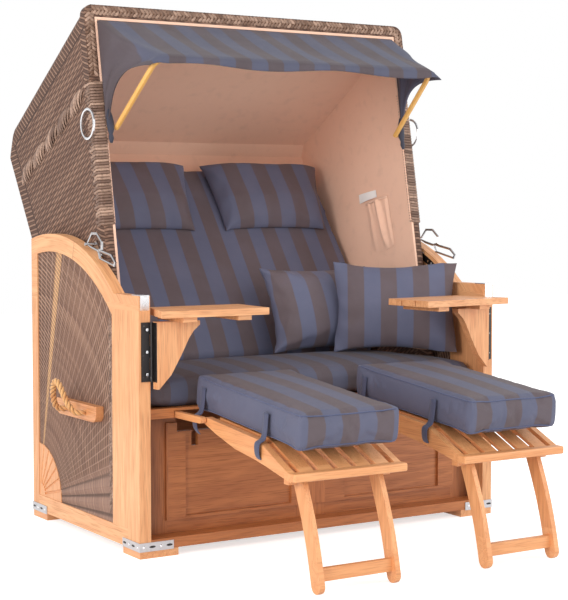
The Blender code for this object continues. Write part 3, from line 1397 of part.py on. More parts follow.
RIGHT_PILLOW_INSET = 0.181
RIGHT_PILLOW_Y = 0.214
RIGHT_PILLOW_RISE = 0.2435
LEFT_PILLOW_INSET = 0.3425
LEFT_PILLOW_Y = 0.40
LEFT_PILLOW_RISE = 0.2337
LEFT_PILLOW_LEAN = math.radians(20)
DECK_TOP = DECK_BOTTOM + DECK_THICKNESS
RIGHT_PILLOW = (HOOD_HALF_WIDTH - RIGHT_PILLOW_INSET, RIGHT_PILLOW_Y, DECK_TOP + RIGHT_PILLOW_RISE)
LEFT_PILLOW = (HOOD_HALF_WIDTH - LEFT_PILLOW_INSET, LEFT_PILLOW_Y, DECK_TOP + LEFT_PILLOW_RISE)


def build():
    """Make every piece, then centre the chair on the origin."""
    root = empty("beach_chair", (0, 0, 0))
    hood = empty("hood", (0, *PIVOT), root)
    for name, side in SIDES.items():
        side_frame(name, side, root)
        side_field(name, side, root)
        handle(name, side, root)
        feet_and_strips(name, side, root)
        locking_bar(name, side, root)
        pivot_bolt(name, side, root)
        fixed_leaf(name, side, root)
        table(name, side, root)
        ring(name, side, hood)
        lever(name, side, hood)
        headrest(name, side, hood)
    cross_boards(root)
    front_panel(root)
    seat_deck(root)
    hood_shell(hood)
    hood_liner(hood)
    hood_braid(hood)
    bow_axis = empty("awning_axis", (0, BOW_FOOT_Y, BOW_FOOT_Z), hood)
    awning_bow(bow_axis)
    awning_cloth(hood)
    seat_cushion(root)
    back_cushion(hood)
    for name, centre in FOOTREST_X.items():
        bar = (centre, FOOTREST_PIVOT_Y, FOOTREST_PIVOT_Z)
        slide = empty("footrest_slide_" + name, bar, root)
        tilt = empty("footrest_tilt_" + name, bar, slide)
        fold = empty("leg_axis_" + name, (centre, LEG_PIVOT_Y, LEG_PIVOT_Z), tilt)
        runner(name, centre, slide)
        footrest_frame(name, centre, tilt)
        footrest_cushion(name, centre, tilt)
        footrest_legs(name, centre, fold)
    throw_pillow("right", RIGHT_PILLOW, math.radians(-31.0), math.radians(8.0), root)
    throw_pillow("left", LEFT_PILLOW, 0.0, LEFT_PILLOW_LEAN, root)
    bpy.context.view_layer.update()
    lows, highs = [], []
    for obj in chair.objects:
        if obj.type == "MESH":
            places = [(obj.matrix_world @ vert.co).y for vert in obj.data.vertices]
            lows.append(min(places))
            highs.append(max(places))
    root.location.y = -(min(lows) + max(highs)) / 2


build()
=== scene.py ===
"""Looks of the hooded beach chair: materials, soft goods, wicker strands, fittings, light and camera."""

from math import atan, cos, exp, pi, radians, sin, tan, tau

import bmesh
import bpy
import numpy as np
from mathutils import Euler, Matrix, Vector
from mathutils.bvhtree import BVHTree


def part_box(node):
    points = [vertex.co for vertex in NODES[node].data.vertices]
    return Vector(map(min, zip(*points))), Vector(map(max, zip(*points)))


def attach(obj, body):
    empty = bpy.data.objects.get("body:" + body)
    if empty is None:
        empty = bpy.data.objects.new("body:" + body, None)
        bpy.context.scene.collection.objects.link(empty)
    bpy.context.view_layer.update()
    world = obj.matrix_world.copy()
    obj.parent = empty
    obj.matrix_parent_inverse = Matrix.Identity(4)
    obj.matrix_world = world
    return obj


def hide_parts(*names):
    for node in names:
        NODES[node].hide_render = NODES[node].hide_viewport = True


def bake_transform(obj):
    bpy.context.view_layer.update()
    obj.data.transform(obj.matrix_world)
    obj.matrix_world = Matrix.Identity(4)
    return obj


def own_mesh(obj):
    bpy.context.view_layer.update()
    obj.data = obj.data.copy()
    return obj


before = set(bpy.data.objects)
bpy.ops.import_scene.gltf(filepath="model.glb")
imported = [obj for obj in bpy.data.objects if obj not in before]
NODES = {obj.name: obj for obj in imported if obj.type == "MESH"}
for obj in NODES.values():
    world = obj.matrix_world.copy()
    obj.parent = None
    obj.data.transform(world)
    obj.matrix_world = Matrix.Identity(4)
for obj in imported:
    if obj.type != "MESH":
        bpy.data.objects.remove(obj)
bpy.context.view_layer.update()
SIDES = (("left", -1), ("right", 1))
HOOD_AXIS = Vector((0, 0.37848, 0.234))
ARCH_R = 0.634
HOOD_X = 0.58
HOOD_INNER_X = 0.5403
FAN_Y, FAN_Z = 0.498, 0.064
FRONT_LEAN = radians(10.6)
BACK_LEAN = radians(33.7)
PILLOW_TURN = radians(-31)
AWNING_TOP, AWNING_SIDE = 1.084, 0.298
BRAID_LOW, LINER_LOW = 1.352, 0.93
ORIGIN_Y = 0.21152  # lengths measured in the photo start this far in front of the frame's origin


def vec(x, y, z):
    return Vector((x, y, z))


# ---------------------------------------------------------------- materials

def linear(colour):
    """A colour of three numbers, as read off a screen, in the form that a shader wants."""
    return tuple(c / 12.92 if c <= 0.04045 else ((c + 0.055) / 1.055) ** 2.4 for c in colour) + (1,)


class Sum:
    """A shader value that is written in sums; each sign makes a math node."""

    def __init__(self, recipe, socket):
        self.recipe, self.socket = recipe, socket

    def __add__(self, other):
        return self.recipe.math("ADD", self, other)

    def __sub__(self, other):
        return self.recipe.math("SUBTRACT", self, other)

    def __rsub__(self, other):
        return self.recipe.math("SUBTRACT", other, self)

    def __mul__(self, other):
        return self.recipe.math("MULTIPLY", self, other)

    def __rmul__(self, other):
        return self.recipe.math("MULTIPLY", other, self)

    def __truediv__(self, other):
        return self.recipe.math("DIVIDE", self, other)

    def __abs__(self):
        return self.recipe.math("ABSOLUTE", self)


class Recipe:
    """A material whose nodes are written as short sums."""

    def __init__(self, name, rough=0.5, metal=0.0, sheen=0.0):
        self.material = bpy.data.materials.new(name)
        self.material.use_nodes = True
        self.tree = self.material.node_tree
        self.shader = self.tree.nodes["Principled BSDF"]
        self.shader.inputs["Roughness"].default_value = rough
        self.shader.inputs["Metallic"].default_value = metal
        self.shader.inputs["Sheen Weight"].default_value = sheen
        self.place = self.node("TexCoord", {}, "Object")
        self.x, self.y, self.z = self.split(self.place)
        self.normal = None

    def put(self, socket, value):
        if isinstance(value, Sum):
            self.tree.links.new(value.socket, socket)
        else:
            socket.default_value = linear(value) if isinstance(value, tuple) and len(value) == 3 else value

    def node(self, kind, inputs, output=0, **settings):
        """One of the outputs of a new node with these settings and inputs."""
        made = self.tree.nodes.new("ShaderNode" + kind)
        for key, value in settings.items():
            setattr(made, key, value)
        for key, value in inputs.items():
            self.put(made.inputs[key], value)
        return Sum(self, made.outputs[output])

    def split(self, vector):
        outputs = self.node("SeparateXYZ", {0: vector}).socket.node.outputs
        return [Sum(self, output) for output in outputs]

    def facing(self):
        if self.normal is None:
            self.normal = self.split(self.node("NewGeometry", {}, "Normal"))
        return self.normal

    def math(self, operation, a, b=0.0, c=0.0):
        return self.node("Math", {0: a, 1: b, 2: c}, operation=operation)

    def line(self, a, b, offset=0.0):
        """a * y + b * z + offset, for a straight direction in the side view."""
        return self.y * a + self.z * b + offset

    def step(self, value, low, high):
        return self.node("MapRange", {"Value": value, "From Min": low, "From Max": high}, "Result",
                         interpolation_type="SMOOTHSTEP")

    def vector(self, a, b, c):
        return self.node("CombineXYZ", {0: a, 1: b, 2: c})

    def noise(self, place, scale=1.0, detail=2.0, rough=0.5):
        return self.node("TexNoise", {"Vector": place, "Scale": scale, "Detail": detail, "Roughness": rough})

    def speckle(self, a, b, c=0.0):
        return self.node("TexWhiteNoise", {"Vector": self.vector(a, b, c)}, "Value")

    def pick(self, share, one, two):
        """one where share is 0, two where it is 1; numbers."""
        return one * (1.0 - share) + two * share

    def mix(self, share, one, two):
        return self.node("Mix", {"Factor": share, 6: one, 7: two}, 2, data_type="RGBA")

    def done(self, colour, height=None, depth=0.001, rough=None, strength=1.0):
        self.put(self.shader.inputs["Base Color"], colour)
        if rough is not None:
            self.put(self.shader.inputs["Roughness"], rough)
        if height is not None:
            bump = self.node("Bump", {"Distance": depth, "Strength": strength, "Height": height}, "Normal")
            self.put(self.shader.inputs["Normal"], bump)
        return self.material


PALE_WOOD = (0.93, 0.70, 0.50), (0.79, 0.50, 0.31), (0.52, 0.29, 0.16)
PANEL_WOOD = (0.75, 0.47, 0.27), (0.58, 0.32, 0.16), (0.36, 0.18, 0.08)
FOOTREST_WOOD = (0.91, 0.66, 0.45), (0.80, 0.50, 0.29), (0.58, 0.32, 0.16)


def grain_frame(r):
    """Posts stand, rails lie, and the arch's pieces run round the hood's axis."""
    from_axis_y = r.y - HOOD_AXIS.y
    from_axis_z = r.z - HOOD_AXIS.z
    angle = r.math("ARCTAN2", from_axis_y, from_axis_z)
    radius = r.math("SQRT", from_axis_y * from_axis_y + from_axis_z * from_axis_z)
    arch = r.step(radius, 0.590, 0.606) * r.step(r.z, 0.70, 0.71)
    rail = r.step(r.z, 0.075, 0.073) * (r.step(r.y, -0.137, -0.135) * r.step(r.y, 0.49, 0.488))
    rail = r.math("MAXIMUM", rail, r.step(r.z, 0.690, 0.6905))
    along = r.pick(rail, r.z, r.y)
    across = r.pick(rail, r.y, r.z)
    joint = r.step(angle, -0.257, -0.256)
    curved = angle * ARCH_R
    along = r.pick(arch, along, curved + joint * 3.7)
    across = r.pick(arch, across, radius + joint * 0.31)
    return along, across, r.x + rail * 0.7, arch * r.math("COMPARE", angle, -0.2565, 0.0018)


def grain_panel(r):
    stile = r.math("MAXIMUM", r.step(abs(r.x), 0.508, 0.509),
                   r.step(abs(r.x + 0.027), 0.052, 0.051))
    return r.pick(stile, r.x, r.z), r.pick(stile, r.z, r.x), r.y + stile * 0.4, None


def grain_legs(r):
    rung = r.step(r.z, 0.085, 0.084)
    return r.pick(rung, r.z, r.x), r.pick(rung, r.x, r.z), r.y, None


def grain_rest(r):
    """The footrest's long boards and slats run in and out, the end board across."""
    end = r.step(r.y, -0.728, -0.729)
    return r.pick(end, r.y, r.x), r.pick(end, r.x, r.y), r.z, None


def grain_table(r):
    """Three boards side by side, each from another plank."""
    board = r.math("FLOOR", (r.y + 0.318) / 0.0625)
    return r.x + board * 2.3, r.y, r.z + board * 1.1, None


def straight(*order):
    def grain(r):
        axes = {"x": r.x, "y": r.y, "z": r.z}
        return axes[order[0]], axes[order[1]], axes[order[2]], None
    return grain


def wood(name, grain, tones, figure=1.0, shift=0.0, recess_shade=False):
    r = Recipe(name, 0.45)
    light, dark, deep = tones
    along, across, up, seam = grain(r)
    along = along + shift
    bend = r.noise(r.vector(along * 2.2, across * 5.0, up * 5.0), 1.0, 2.0)
    place = r.vector(along * 1.1, across * 16.0 + bend, up * 16.0)
    rings = r.noise(place, 1.0, 2.5, 0.5)
    lines = r.math("SINE", rings * 46.0) * 0.5 + 0.5
    pores = r.noise(r.vector(along * 14.0, across * 420.0, up * 420.0), 1.0, 1.0)
    pores = r.step(pores, 0.48, 0.72)
    patch = r.step(r.noise(r.vector(along * 1.6, across * 4.0, up * 4.0), 1.0, 1.0), 0.3, 0.7)
    colour = r.mix(lines * (0.34 * figure), light, dark)
    colour = r.mix(patch * 0.34, colour, dark)
    colour = r.mix(pores * (0.30 * figure), colour, deep)
    if seam is not None:
        colour = r.mix(seam * 0.75, colour, deep)
    if recess_shade:
        # painted shade: the front panel darkens towards its side posts and under the seat, where shade falls
        # in its recess
        shadow = r.math("MAXIMUM", r.step(abs(r.x), 0.50, 0.585), r.step(r.z, 0.27, 0.40) * 0.8)
        colour = r.mix(shadow * 0.75, colour, (0.27, 0.13, 0.06))
    rough = pores * 0.16 + 0.40
    return r.done(colour, pores * -0.5 + lines * 0.25, 0.0004, rough, 0.7)


def weave(r, u, v, row, pitch):
    """Strands along u in rows across v, over and under stakes: their height and a tone for each strand."""
    count = v / row
    index = r.math("FLOOR", count)
    part = r.math("FRACT", count)
    swing = u / pitch + index * 0.5
    over = r.math("COSINE", swing * tau) * 0.5 + 0.5
    crown = r.math("SQRT", part * (1.0 - part) * 4.0)
    height = crown * (over * 0.62 + 0.38)
    tone = r.speckle(index, r.math("FLOOR", swing * 0.21))
    return height, tone


def wicker_colour(r, height, tone, warm=0.0):
    streak = r.noise(r.place, 90.0, 2.0)
    strand = r.mix(tone, (0.47 + warm, 0.335 + warm * 0.5, 0.27), (0.70, 0.55, 0.46))
    strand = r.mix(streak * 0.45, strand, (0.54, 0.38, 0.30))
    # painted highlight: strands lighter at their crowns
    strand = r.mix(r.step(height, 0.78, 0.98) * 0.35, strand, (0.82, 0.68, 0.59))
    # painted shade: the gaps between the strands, where the height is low, turn dark
    return r.mix(r.step(height, 0.15, 0.72), (0.235, 0.15, 0.11), strand)


def hood_wicker():
    """Rows on the hood's sides slope like the roof; its edges are wrapped square to themselves."""
    r = Recipe("wicker_hood", 0.72)
    nx, _, nz = r.facing()
    side = r.step(abs(nx), 0.45, 0.55)
    slope = radians(31)
    u_side = r.line(cos(slope), -sin(slope))
    v_side = r.line(sin(slope), cos(slope))
    roof = r.step(nz, 0.35, 0.45)
    v_back = r.pick(roof, r.line(0.55, 0.83), r.line(0.851, -0.525))
    height, tone = weave(r, r.pick(side, r.x, u_side), r.pick(side, v_back, v_side), 0.0092, 0.056)
    roof_gap = r.line(-0.525, -0.851, 0.525 * 0.2275 + 0.851 * 1.576)
    rear_gap = r.line(-0.832, 0.554, 0.832 * 0.8245 - 0.554 * 1.15)
    front_gap = r.line(1.0, -0.1871, -0.2175 + 0.1871 * 1.521)
    edge = side * r.step(r.math("MINIMUM", roof_gap, rear_gap), 0.062, 0.058)
    by_roof = r.step(rear_gap - roof_gap, -0.001, 0.001)
    along = r.pick(by_roof, r.line(0.554, 0.832), r.line(0.851, -0.525))
    gap = r.math("MINIMUM", roof_gap, rear_gap)
    wrap, wrap_tone = weave(r, gap * 0.3, along + gap * 0.45, 0.0085, 0.4)
    height = r.pick(edge, height, wrap)
    tone = r.pick(edge, tone, wrap_tone)
    lip = side * r.step(front_gap, 0.046, 0.042)
    lip_height, lip_tone = weave(r, front_gap * 0.3, r.z + front_gap * -0.25, 0.0085, 0.4)
    height = r.pick(lip, height, lip_height)
    tone = r.pick(lip, tone, lip_tone)
    # a groove where the wrapped edges meet the weave; its low height also gets the painted shade of the gaps
    trough = r.math("COMPARE", gap, 0.060, 0.003) * side
    height = height * (1.0 - trough * 0.8)
    colour = r.mix(0.40, wicker_colour(r, height, tone), (0.275, 0.175, 0.135))
    return r.done(colour, height, 0.0035, None, 0.9)


def field_wicker():
    """The side field: strands on rings about the carved fan, ribs that radiate from it, one yellow band."""
    r = Recipe("wicker_side_field", 0.72)
    from_y = FAN_Y - r.y
    from_z = r.z - FAN_Z
    radius = r.math("SQRT", from_y * from_y + from_z * from_z)
    angle = r.math("ARCTAN2", from_y, from_z)
    low = r.step(angle, 1.20, 1.34)
    column = r.math("FRACT", angle / 0.052)
    stake = r.step(abs(column - 0.5), 0.36, 0.50)
    height, tone = weave(r, angle * 0.45, radius + column * 0.0135, 0.0068, 0.9)
    rib = r.math("FRACT", angle / 0.112 + 0.5)
    swell = r.math("SINE", rib * pi)
    ribs, rib_tone = weave(r, angle * 0.45, radius + swell * 0.010, 0.0080, 0.9)
    height = r.pick(low, height, ribs)
    colour = r.mix(0.2, wicker_colour(r, height, r.pick(low, tone, rib_tone)), (0.40, 0.27, 0.20))
    colour = r.mix(stake * 0.5 * (1.0 - low), colour, (0.70, 0.57, 0.50))
    colour = r.mix(low * 0.30, colour, (0.76, 0.63, 0.57))
    # painted shade: dark in the valleys between the low ribs
    valley_shade = r.step(swell * (rib + 0.45), 0.42, 0.06) * (low * 0.72)
    colour = r.mix(valley_shade, colour, (0.25, 0.17, 0.14))
    total = height * 0.6 + stake * 0.35 + swell * low * 3.6
    band = r.step(abs(angle - 0.215), 0.034, 0.018) * r.step(r.z, 0.12, 0.2)
    colour = r.mix(band * (r.step(height, 0.1, 0.7) * 0.8), colour, (0.90, 0.70, 0.50))
    return r.done(colour, total, 0.0026, None, 0.9)


def strand_finish(name, warm=0.0):
    """Loose strands and braids, each a little different."""
    r = Recipe(name, 0.5)
    tone = r.node("NewGeometry", {}, "Random Per Island")
    streak = r.noise(r.place, 140.0, 2.0)
    colour = r.mix(tone, (0.40 + warm, 0.29 + warm * 0.6, 0.235), (0.72, 0.59, 0.51))
    colour = r.mix(r.step(streak, 0.45, 0.7) * 0.5, colour, (0.30, 0.22, 0.18))
    return r.done(colour, streak, 0.0005)


BLUE = (0.375, 0.39, 0.49)
BROWN = (0.385, 0.33, 0.345)


def striped(name, direction=(1, 0, 0), width=0.055, phase=0.0, plain=False, painted_shade=0.0):
    """Twill in wide stripes of two colours, measured along direction; plain leaves its two ends blue; the
    last argument darkens the whole cloth, a painted shade.
    """
    r = Recipe(name, 0.78, sheen=0.06)
    d = Vector(direction).normalized()
    along = r.x * d.x + r.y * d.y + r.z * d.z
    wave = r.math("SINE", (along + phase) / width * pi)
    band = r.step(wave, -0.05, 0.05)
    if plain:
        band = band * r.step(abs(r.facing()[0]), 0.72, 0.62)
    thread_a = r.math("SINE", (r.x + r.z) * 5200.0)
    thread_b = r.math("SINE", (r.y + r.z * 0.9) * 5200.0)
    thread = thread_a * thread_b * 0.5 + 0.5
    cloud = r.noise(r.place, 9.0, 3.0)
    colour = r.mix(band, BLUE, BROWN)
    colour = r.mix(r.step(cloud, 0.35, 0.75) * 0.14, colour, (0.52, 0.50, 0.58))
    colour = r.mix(thread * 0.16, colour, (0.16, 0.15, 0.21))
    # painted shade: the whole cloth darkened, which makes the seat, footrest and awning darker copies of the
    # back's cloth
    colour = r.mix(painted_shade, colour, (0.12, 0.11, 0.14))
    slub = r.noise(r.vector(r.x * 40.0, r.y * 40.0, r.z * 40.0), 1.0, 3.0)
    return r.done(colour, thread * 0.22 + slub, 0.0009, slub * 0.2 + 0.62, 0.6)


def liner_cloth():
    r = Recipe("liner_cloth", 0.8, sheen=0.2)
    soft = r.noise(r.vector(r.x * 3.0, r.y * 5.0, r.z * 4.0), 1.0, 2.0)
    thread = r.math("SINE", (r.y + r.x) * 3900.0) * r.math("SINE", r.z * 3900.0)
    colour = r.mix(soft * 0.6, (0.985, 0.815, 0.715), (0.95, 0.76, 0.655))
    grime = r.step(r.noise(r.place, 26.0, 3.0), 0.5, 0.8)
    colour = r.mix(grime * 0.12, colour, (0.62, 0.47, 0.40))
    return r.done(colour, soft + thread * 0.05, 0.004, None, 0.5)


def plain_cloth(name, colour, dark, scale=3600.0):
    r = Recipe(name, 0.7, sheen=0.2)
    thread = r.math("SINE", (r.y + r.x) * scale) * r.math("SINE", r.z * scale)
    soft = r.noise(r.place, 30.0, 2.0)
    return r.done(r.mix(soft * 0.6, colour, dark), thread * 0.2 + soft, 0.0008, None, 0.6)


def metal(name, colour, rough, brushed=(1, 1, 1), worn=None):
    r = Recipe(name, rough, 1.0)
    lines = r.noise(r.vector(r.x * (90.0 * brushed[0]), r.y * (90.0 * brushed[1]),
                             r.z * (90.0 * brushed[2])), 1.0, 3.0)
    spots = r.step(r.noise(r.place, 60.0, 4.0), 0.58, 0.75)
    dull = tuple(c * 0.55 for c in colour[:3]) + (1,)
    colour = r.mix(spots * 0.5, colour, dull)
    if worn is not None:
        colour = r.mix(r.step(lines, 0.62, 0.8), colour, worn)
    return r.done(colour, lines, 0.0002, lines * 0.22 + (rough - 0.08), 0.4)


def rope_finish():
    r = Recipe("rope_fibre", 0.75, sheen=0.3)
    # painted shade: the rope's colour turns dark in the grooves between its strands
    groove = r.step(r.node("Attribute", {}, "Fac", attribute_name="groove"), 0.25, 0.95)
    hairs = r.noise(r.vector(r.x * 300.0, r.y * 700.0, r.z * 700.0), 1.0, 3.0)
    tone = r.noise(r.place, 32.0, 2.0)
    colour = r.mix(r.step(tone, 0.35, 0.65), (0.90, 0.70, 0.46), (0.80, 0.56, 0.34))
    colour = r.mix(hairs * 0.35, colour, (0.62, 0.38, 0.20))
    return r.done(r.mix(groove, colour, (0.36, 0.19, 0.09)), hairs, 0.0008)


def paint(node, material):
    """Puts a CAD node's own look in its material slot; its mesh stays as it is."""
    slots = NODES[node].data.materials
    if len(slots):
        slots[0] = material
    else:
        slots.append(material)


frame_wood = wood("wood_side_frame", grain_frame, PALE_WOOD)
# the front panel's wood carries painted shade in its recess
panel_wood = wood("wood_front_panel", grain_panel, PANEL_WOOD, 1.3, 0.0, True)
legs_wood = wood("wood_footrest_legs", grain_legs, FOOTREST_WOOD)
rest_wood = wood("wood_footrest_top", grain_rest, FOOTREST_WOOD)
runner_wood = wood("wood_runner", straight("y", "x", "z"), FOOTREST_WOOD)
table_wood = wood("wood_table", grain_table, PALE_WOOD, 1.2)
bracket_wood = wood("wood_bracket", straight("z", "x", "y"), PALE_WOOD, 1.2, 0.35)
rail_wood = wood("wood_rails", straight("x", "z", "y"), PANEL_WOOD, 1.0, 1.9)
foot_wood = wood("wood_feet", straight("y", "x", "z"), PALE_WOOD, 1.0, 0.6)
fan_wood = wood("wood_carved_fan", straight("z", "y", "x"), PALE_WOOD, 0.9, 0.2)
block_wood = wood("wood_handle", straight("y", "z", "x"), ((0.85, 0.60, 0.40),) + PALE_WOOD[1:], 1.2, 0.9)
bow_wood = wood("wood_bow", straight("x", "y", "z"), ((0.93, 0.73, 0.42), (0.86, 0.61, 0.30),
                                                      (0.62, 0.41, 0.19)), 0.5)
bright_steel = metal("steel_bright", (0.72, 0.72, 0.74, 1), 0.24)
bar_steel = metal("steel_bar", (0.50, 0.49, 0.50, 1), 0.2, (1, 1, 1), (0.12, 0.11, 0.11, 1))
dark_steel = metal("steel_black", (0.055, 0.05, 0.05, 1), 0.42, (1, 1, 1), (0.2, 0.18, 0.17, 1))
strip_steel = metal("steel_strip", (0.50, 0.50, 0.52, 1), 0.33, (1, 1, 6), (0.3, 0.26, 0.22, 1))
hood_weave = hood_wicker()
field_weave = field_wicker()
strand_look = strand_finish("wicker_strand")
braid_look = strand_finish("wicker_braid", 0.04)
liner_look = liner_cloth()
seam_look = plain_cloth("liner_seam", (0.95, 0.80, 0.71), (0.90, 0.72, 0.62))

for material, names in (
        (frame_wood, "side_frame"), (field_weave, "side_wicker"), (fan_wood, "corner_fan"),
        (foot_wood, "foot_front foot_rear"), (block_wood, "handle_block"), (table_wood, "table"),
        (bracket_wood, "table_bracket"), (rest_wood, "footrest_frame"), (legs_wood, "footrest_legs"),
        (runner_wood, "footrest_runner"), (strip_steel, "corner_strip_front corner_strip_rear"),
        (bright_steel, "post_cap hood_pivot hood_ring"), (bar_steel, "latch_lever"),
        (dark_steel, "locking_bar hinge_leaf table_hinge")):
    for name in names.split():
        for side, _ in SIDES:
            paint(name + "_" + side, material)
for material, names in ((rail_wood, "plinth_rail back_panel seat_deck"), (panel_wood, "front_panel"),
                        (bow_wood, "awning_bow"), (hood_weave, "hood_shell hood_braid"),
                        (liner_look, "hood_liner")):
    for name in names.split():
        paint(name, material)


# ---------------------------------------------------------------- making pieces

def raw(name, bm):
    """An object in the scene that has bm's mesh."""
    mesh = bpy.data.meshes.new(name)
    bm.to_mesh(mesh)
    bm.free()
    obj = bpy.data.objects.new(name, mesh)
    bpy.context.scene.collection.objects.link(obj)
    return obj


def piece(name, bm, material, body):
    return dressed(raw(name, bm), material, body)


def solid(name, bm, material, body):
    """A piece whose faces are all turned outward."""
    bmesh.ops.recalc_face_normals(bm, faces=bm.faces)
    return piece(name, bm, material, body)


def dressed(obj, material, body):
    obj.data.materials.clear()
    obj.data.materials.append(material)
    obj.data.polygons.foreach_set("use_smooth", [True] * len(obj.data.polygons))
    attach(obj, body)
    return obj


def tube(bm, rings, closed=False):
    """Faces between rings of points, with a cap on each end of an open tube."""
    pairs = list(zip(rings, rings[1:]))
    if closed:
        pairs.append((rings[-1], rings[0]))
    for one, two in pairs:
        for k in range(len(one)):
            n = (k + 1) % len(one)
            bm.faces.new((one[k], one[n], two[n], two[k]))
    if not closed:
        bm.faces.new(list(reversed(rings[0])))
        bm.faces.new(rings[-1])


def sheet(bm, columns, turned=False):
    """Faces between columns of points."""
    for one, two in zip(columns, columns[1:]):
        for j in range(len(one) - 1):
            face = (one[j], two[j], two[j + 1], one[j + 1])
            bm.faces.new((face[0], face[3], face[2], face[1]) if turned else face)


def loft(bm, points, ups, widths, thicks, sides=8, closed=False):
    """A band of lens-shaped section along points: width across, thickness along ups.

    A single up, width or thickness stands for all points.
    """
    count = len(points)
    ups, widths, thicks = (v if isinstance(v, list) else [v] * count for v in (ups, widths, thicks))
    rings = []
    for i, (p, up, w, t) in enumerate(zip(points, ups, widths, thicks)):
        before = points[i - 1] if i or closed else points[i]
        after = points[(i + 1) % count] if i < count - 1 or closed else points[i]
        ahead = (after - before).normalized()
        across = ahead.cross(up).normalized()
        lift = across.cross(ahead).normalized()
        ring = []
        for k in range(sides):
            a = tau * k / sides
            ring.append(bm.verts.new(p + across * (w / 2 * cos(a)) + lift * (t / 2 * sin(a))))
        rings.append(ring)
    tube(bm, rings, closed)


def strand(bm, a, b, up, width, thick, crown, steps=6):
    """One flat strand that comes up out of the weave at a and dives back at b."""
    points, widths = [], []
    for i in range(steps + 1):
        t = i / steps
        points.append(a.lerp(b, t) + up * (crown * sin(pi * t) - thick * 0.25))
        widths.append(width * (0.72 + 0.28 * sin(pi * t)))
    loft(bm, points, up, widths, thick, 6)


def length_of(points):
    return sum((b - a).length for a, b in zip(points, points[1:]))


def reached(points, target):
    """The place this far along a polyline and the direction there."""
    for a, b in zip(points, points[1:]):
        length = (b - a).length
        if target <= length:
            return a.lerp(b, target / length), (b - a).normalized()
        target -= length
    return points[-1].copy(), None


def walk(points, step):
    """Places and directions along a polyline, every step."""
    total = length_of(points)
    count = max(2, round(total / step))
    return [reached(points, (i + 0.5) * total / count) for i in range(count)]


def at(points, share):
    """The point at this share of a polyline's length."""
    return reached(points, share * length_of(points))[0]


# ---------------------------------------------------------------- wicker strands

def hood_front(z):
    return 0.429 + (z - 1.521) * tan(FRONT_LEAN) - ORIGIN_Y


def braid():
    """Herringbone over the top front edge: pairs of strands that meet on the middle line."""
    bm = bmesh.new()
    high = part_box("hood_braid")[1]
    x, top = high.x - 0.0175, high.z - 0.0175
    path = [vec(side, 0, z) for side, z in ((-x, BRAID_LOW), (-x, top - 0.012), (-x + 0.012, top),
                                            (x - 0.012, top), (x, top - 0.012), (x, BRAID_LOW))]
    tree = BVHTree.FromObject(NODES["hood_braid"], bpy.context.evaluated_depsgraph_get())
    for place, ahead in walk(path, 0.0125):
        forward = vec(0, -cos(FRONT_LEAN), -sin(FRONT_LEAN))
        outward = ahead.cross(vec(0, 1, 0))
        for hand in (-1, 1):
            a = place + outward * (hand * 0.0155) - ahead * 0.009
            b = place - outward * (hand * 0.002) + ahead * 0.010
            a.y = b.y = hood_front(place.z) - 0.1
            hits = [tree.ray_cast(p, vec(0, 1, 0))[0] for p in (a, b)]
            if None in hits:
                continue
            a, b = hits[0] + vec(0, 0.003, 0), hits[1] + vec(0, 0.001, 0)
            strand(bm, a, b, forward, 0.0105, 0.0034, 0.0042)
    return solid("hood_braid_strands", bm, braid_look, "hood")


def wrapped_edges():
    """Below the braid the front edge is wrapped strand by strand, from the liner round to the outer face."""
    bm = bmesh.new()
    inner, outer, inside = 0.003, 0.010, HOOD_INNER_X + 0.0012
    quarter = [pi / 2 * k / 3 for k in range(4)]
    for _, sign in SIDES:
        z, index = LINER_LOW, 0
        while z < BRAID_LOW - 0.004:
            reach, drop = 0.034 + 0.010 * sin(index * 2.3), 0.010
            line = [(inside, 0.008, 0, -1, 0)]
            line += [(inside + inner * (1 - cos(a)), inner * (1 - sin(a)) - 0.0014, 0, -cos(a), -sin(a))
                     for a in quarter]
            line += [(HOOD_X - outer * (1 - sin(a)), outer * (1 - cos(a)) - 0.0006, drop * 0.2,
                      sin(a), -cos(a)) for a in quarter]
            line += [(HOOD_X, reach, drop, 1, 0), (HOOD_X - 0.003, reach + 0.008, drop * 1.3, 1, 0)]
            points = [vec(sign * x, hood_front(z) + y, z - down) for x, y, down, _, _ in line]
            loft(bm, points, [vec(sign * x, y, 0) for _, _, _, x, y in line], 0.0085, 0.0032, 6)
            z += 0.0088
            index += 1
    return solid("hood_edge_strands", bm, strand_look, "hood")


def diagonal_band():
    """The wide strands of the slanting band on the hood's side walls."""
    bm = bmesh.new()
    for _, sign in SIDES:
        a = vec(sign * HOOD_X, 0.449 - ORIGIN_Y, 1.313)
        b = vec(sign * HOOD_X, 0.921 - ORIGIN_Y, 1.065)
        along = (b - a).normalized()
        out = vec(sign, 0, 0)
        across = along.cross(out) * sign
        for middle, _ in walk([a, b], 0.100):
            for share in (-1, -2 / 3, -1 / 3, 0, 1 / 3, 2 / 3, 1):
                place = middle + along * (share * 0.040)
                half = across * (0.027 * (1 - 0.35 * share * share))
                lean = along * 0.016
                strand(bm, place - half - lean, place + half + lean, out, 0.0145, 0.0042,
                       0.0105 - 0.0065 * share * share, 8)
    return solid("hood_band_strands", bm, strand_look, "hood")


def field_border():
    """A plait of small strands down the side field's front edge."""
    bm = bmesh.new()
    for side, sign in SIDES:
        low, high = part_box("side_wicker_" + side)
        face = max(abs(low.x), abs(high.x))
        path = [vec(sign * face, -0.026, 0.10), vec(sign * face, -0.026, 0.66)]
        out = vec(sign, 0, 0)
        for place, _ in walk(path, 0.0105):
            for hand in (-1, 1):
                a = place + vec(0, hand * 0.011, -0.006)
                b = place + vec(0, hand * 0.0005, 0.008)
                strand(bm, a, b, out, 0.0075, 0.0024, 0.0016, 5)
    return solid("side_field_border", bm, strand_look, "base")


braid()
wrapped_edges()
diagonal_band()
field_border()


# ---------------------------------------------------------------- soft goods

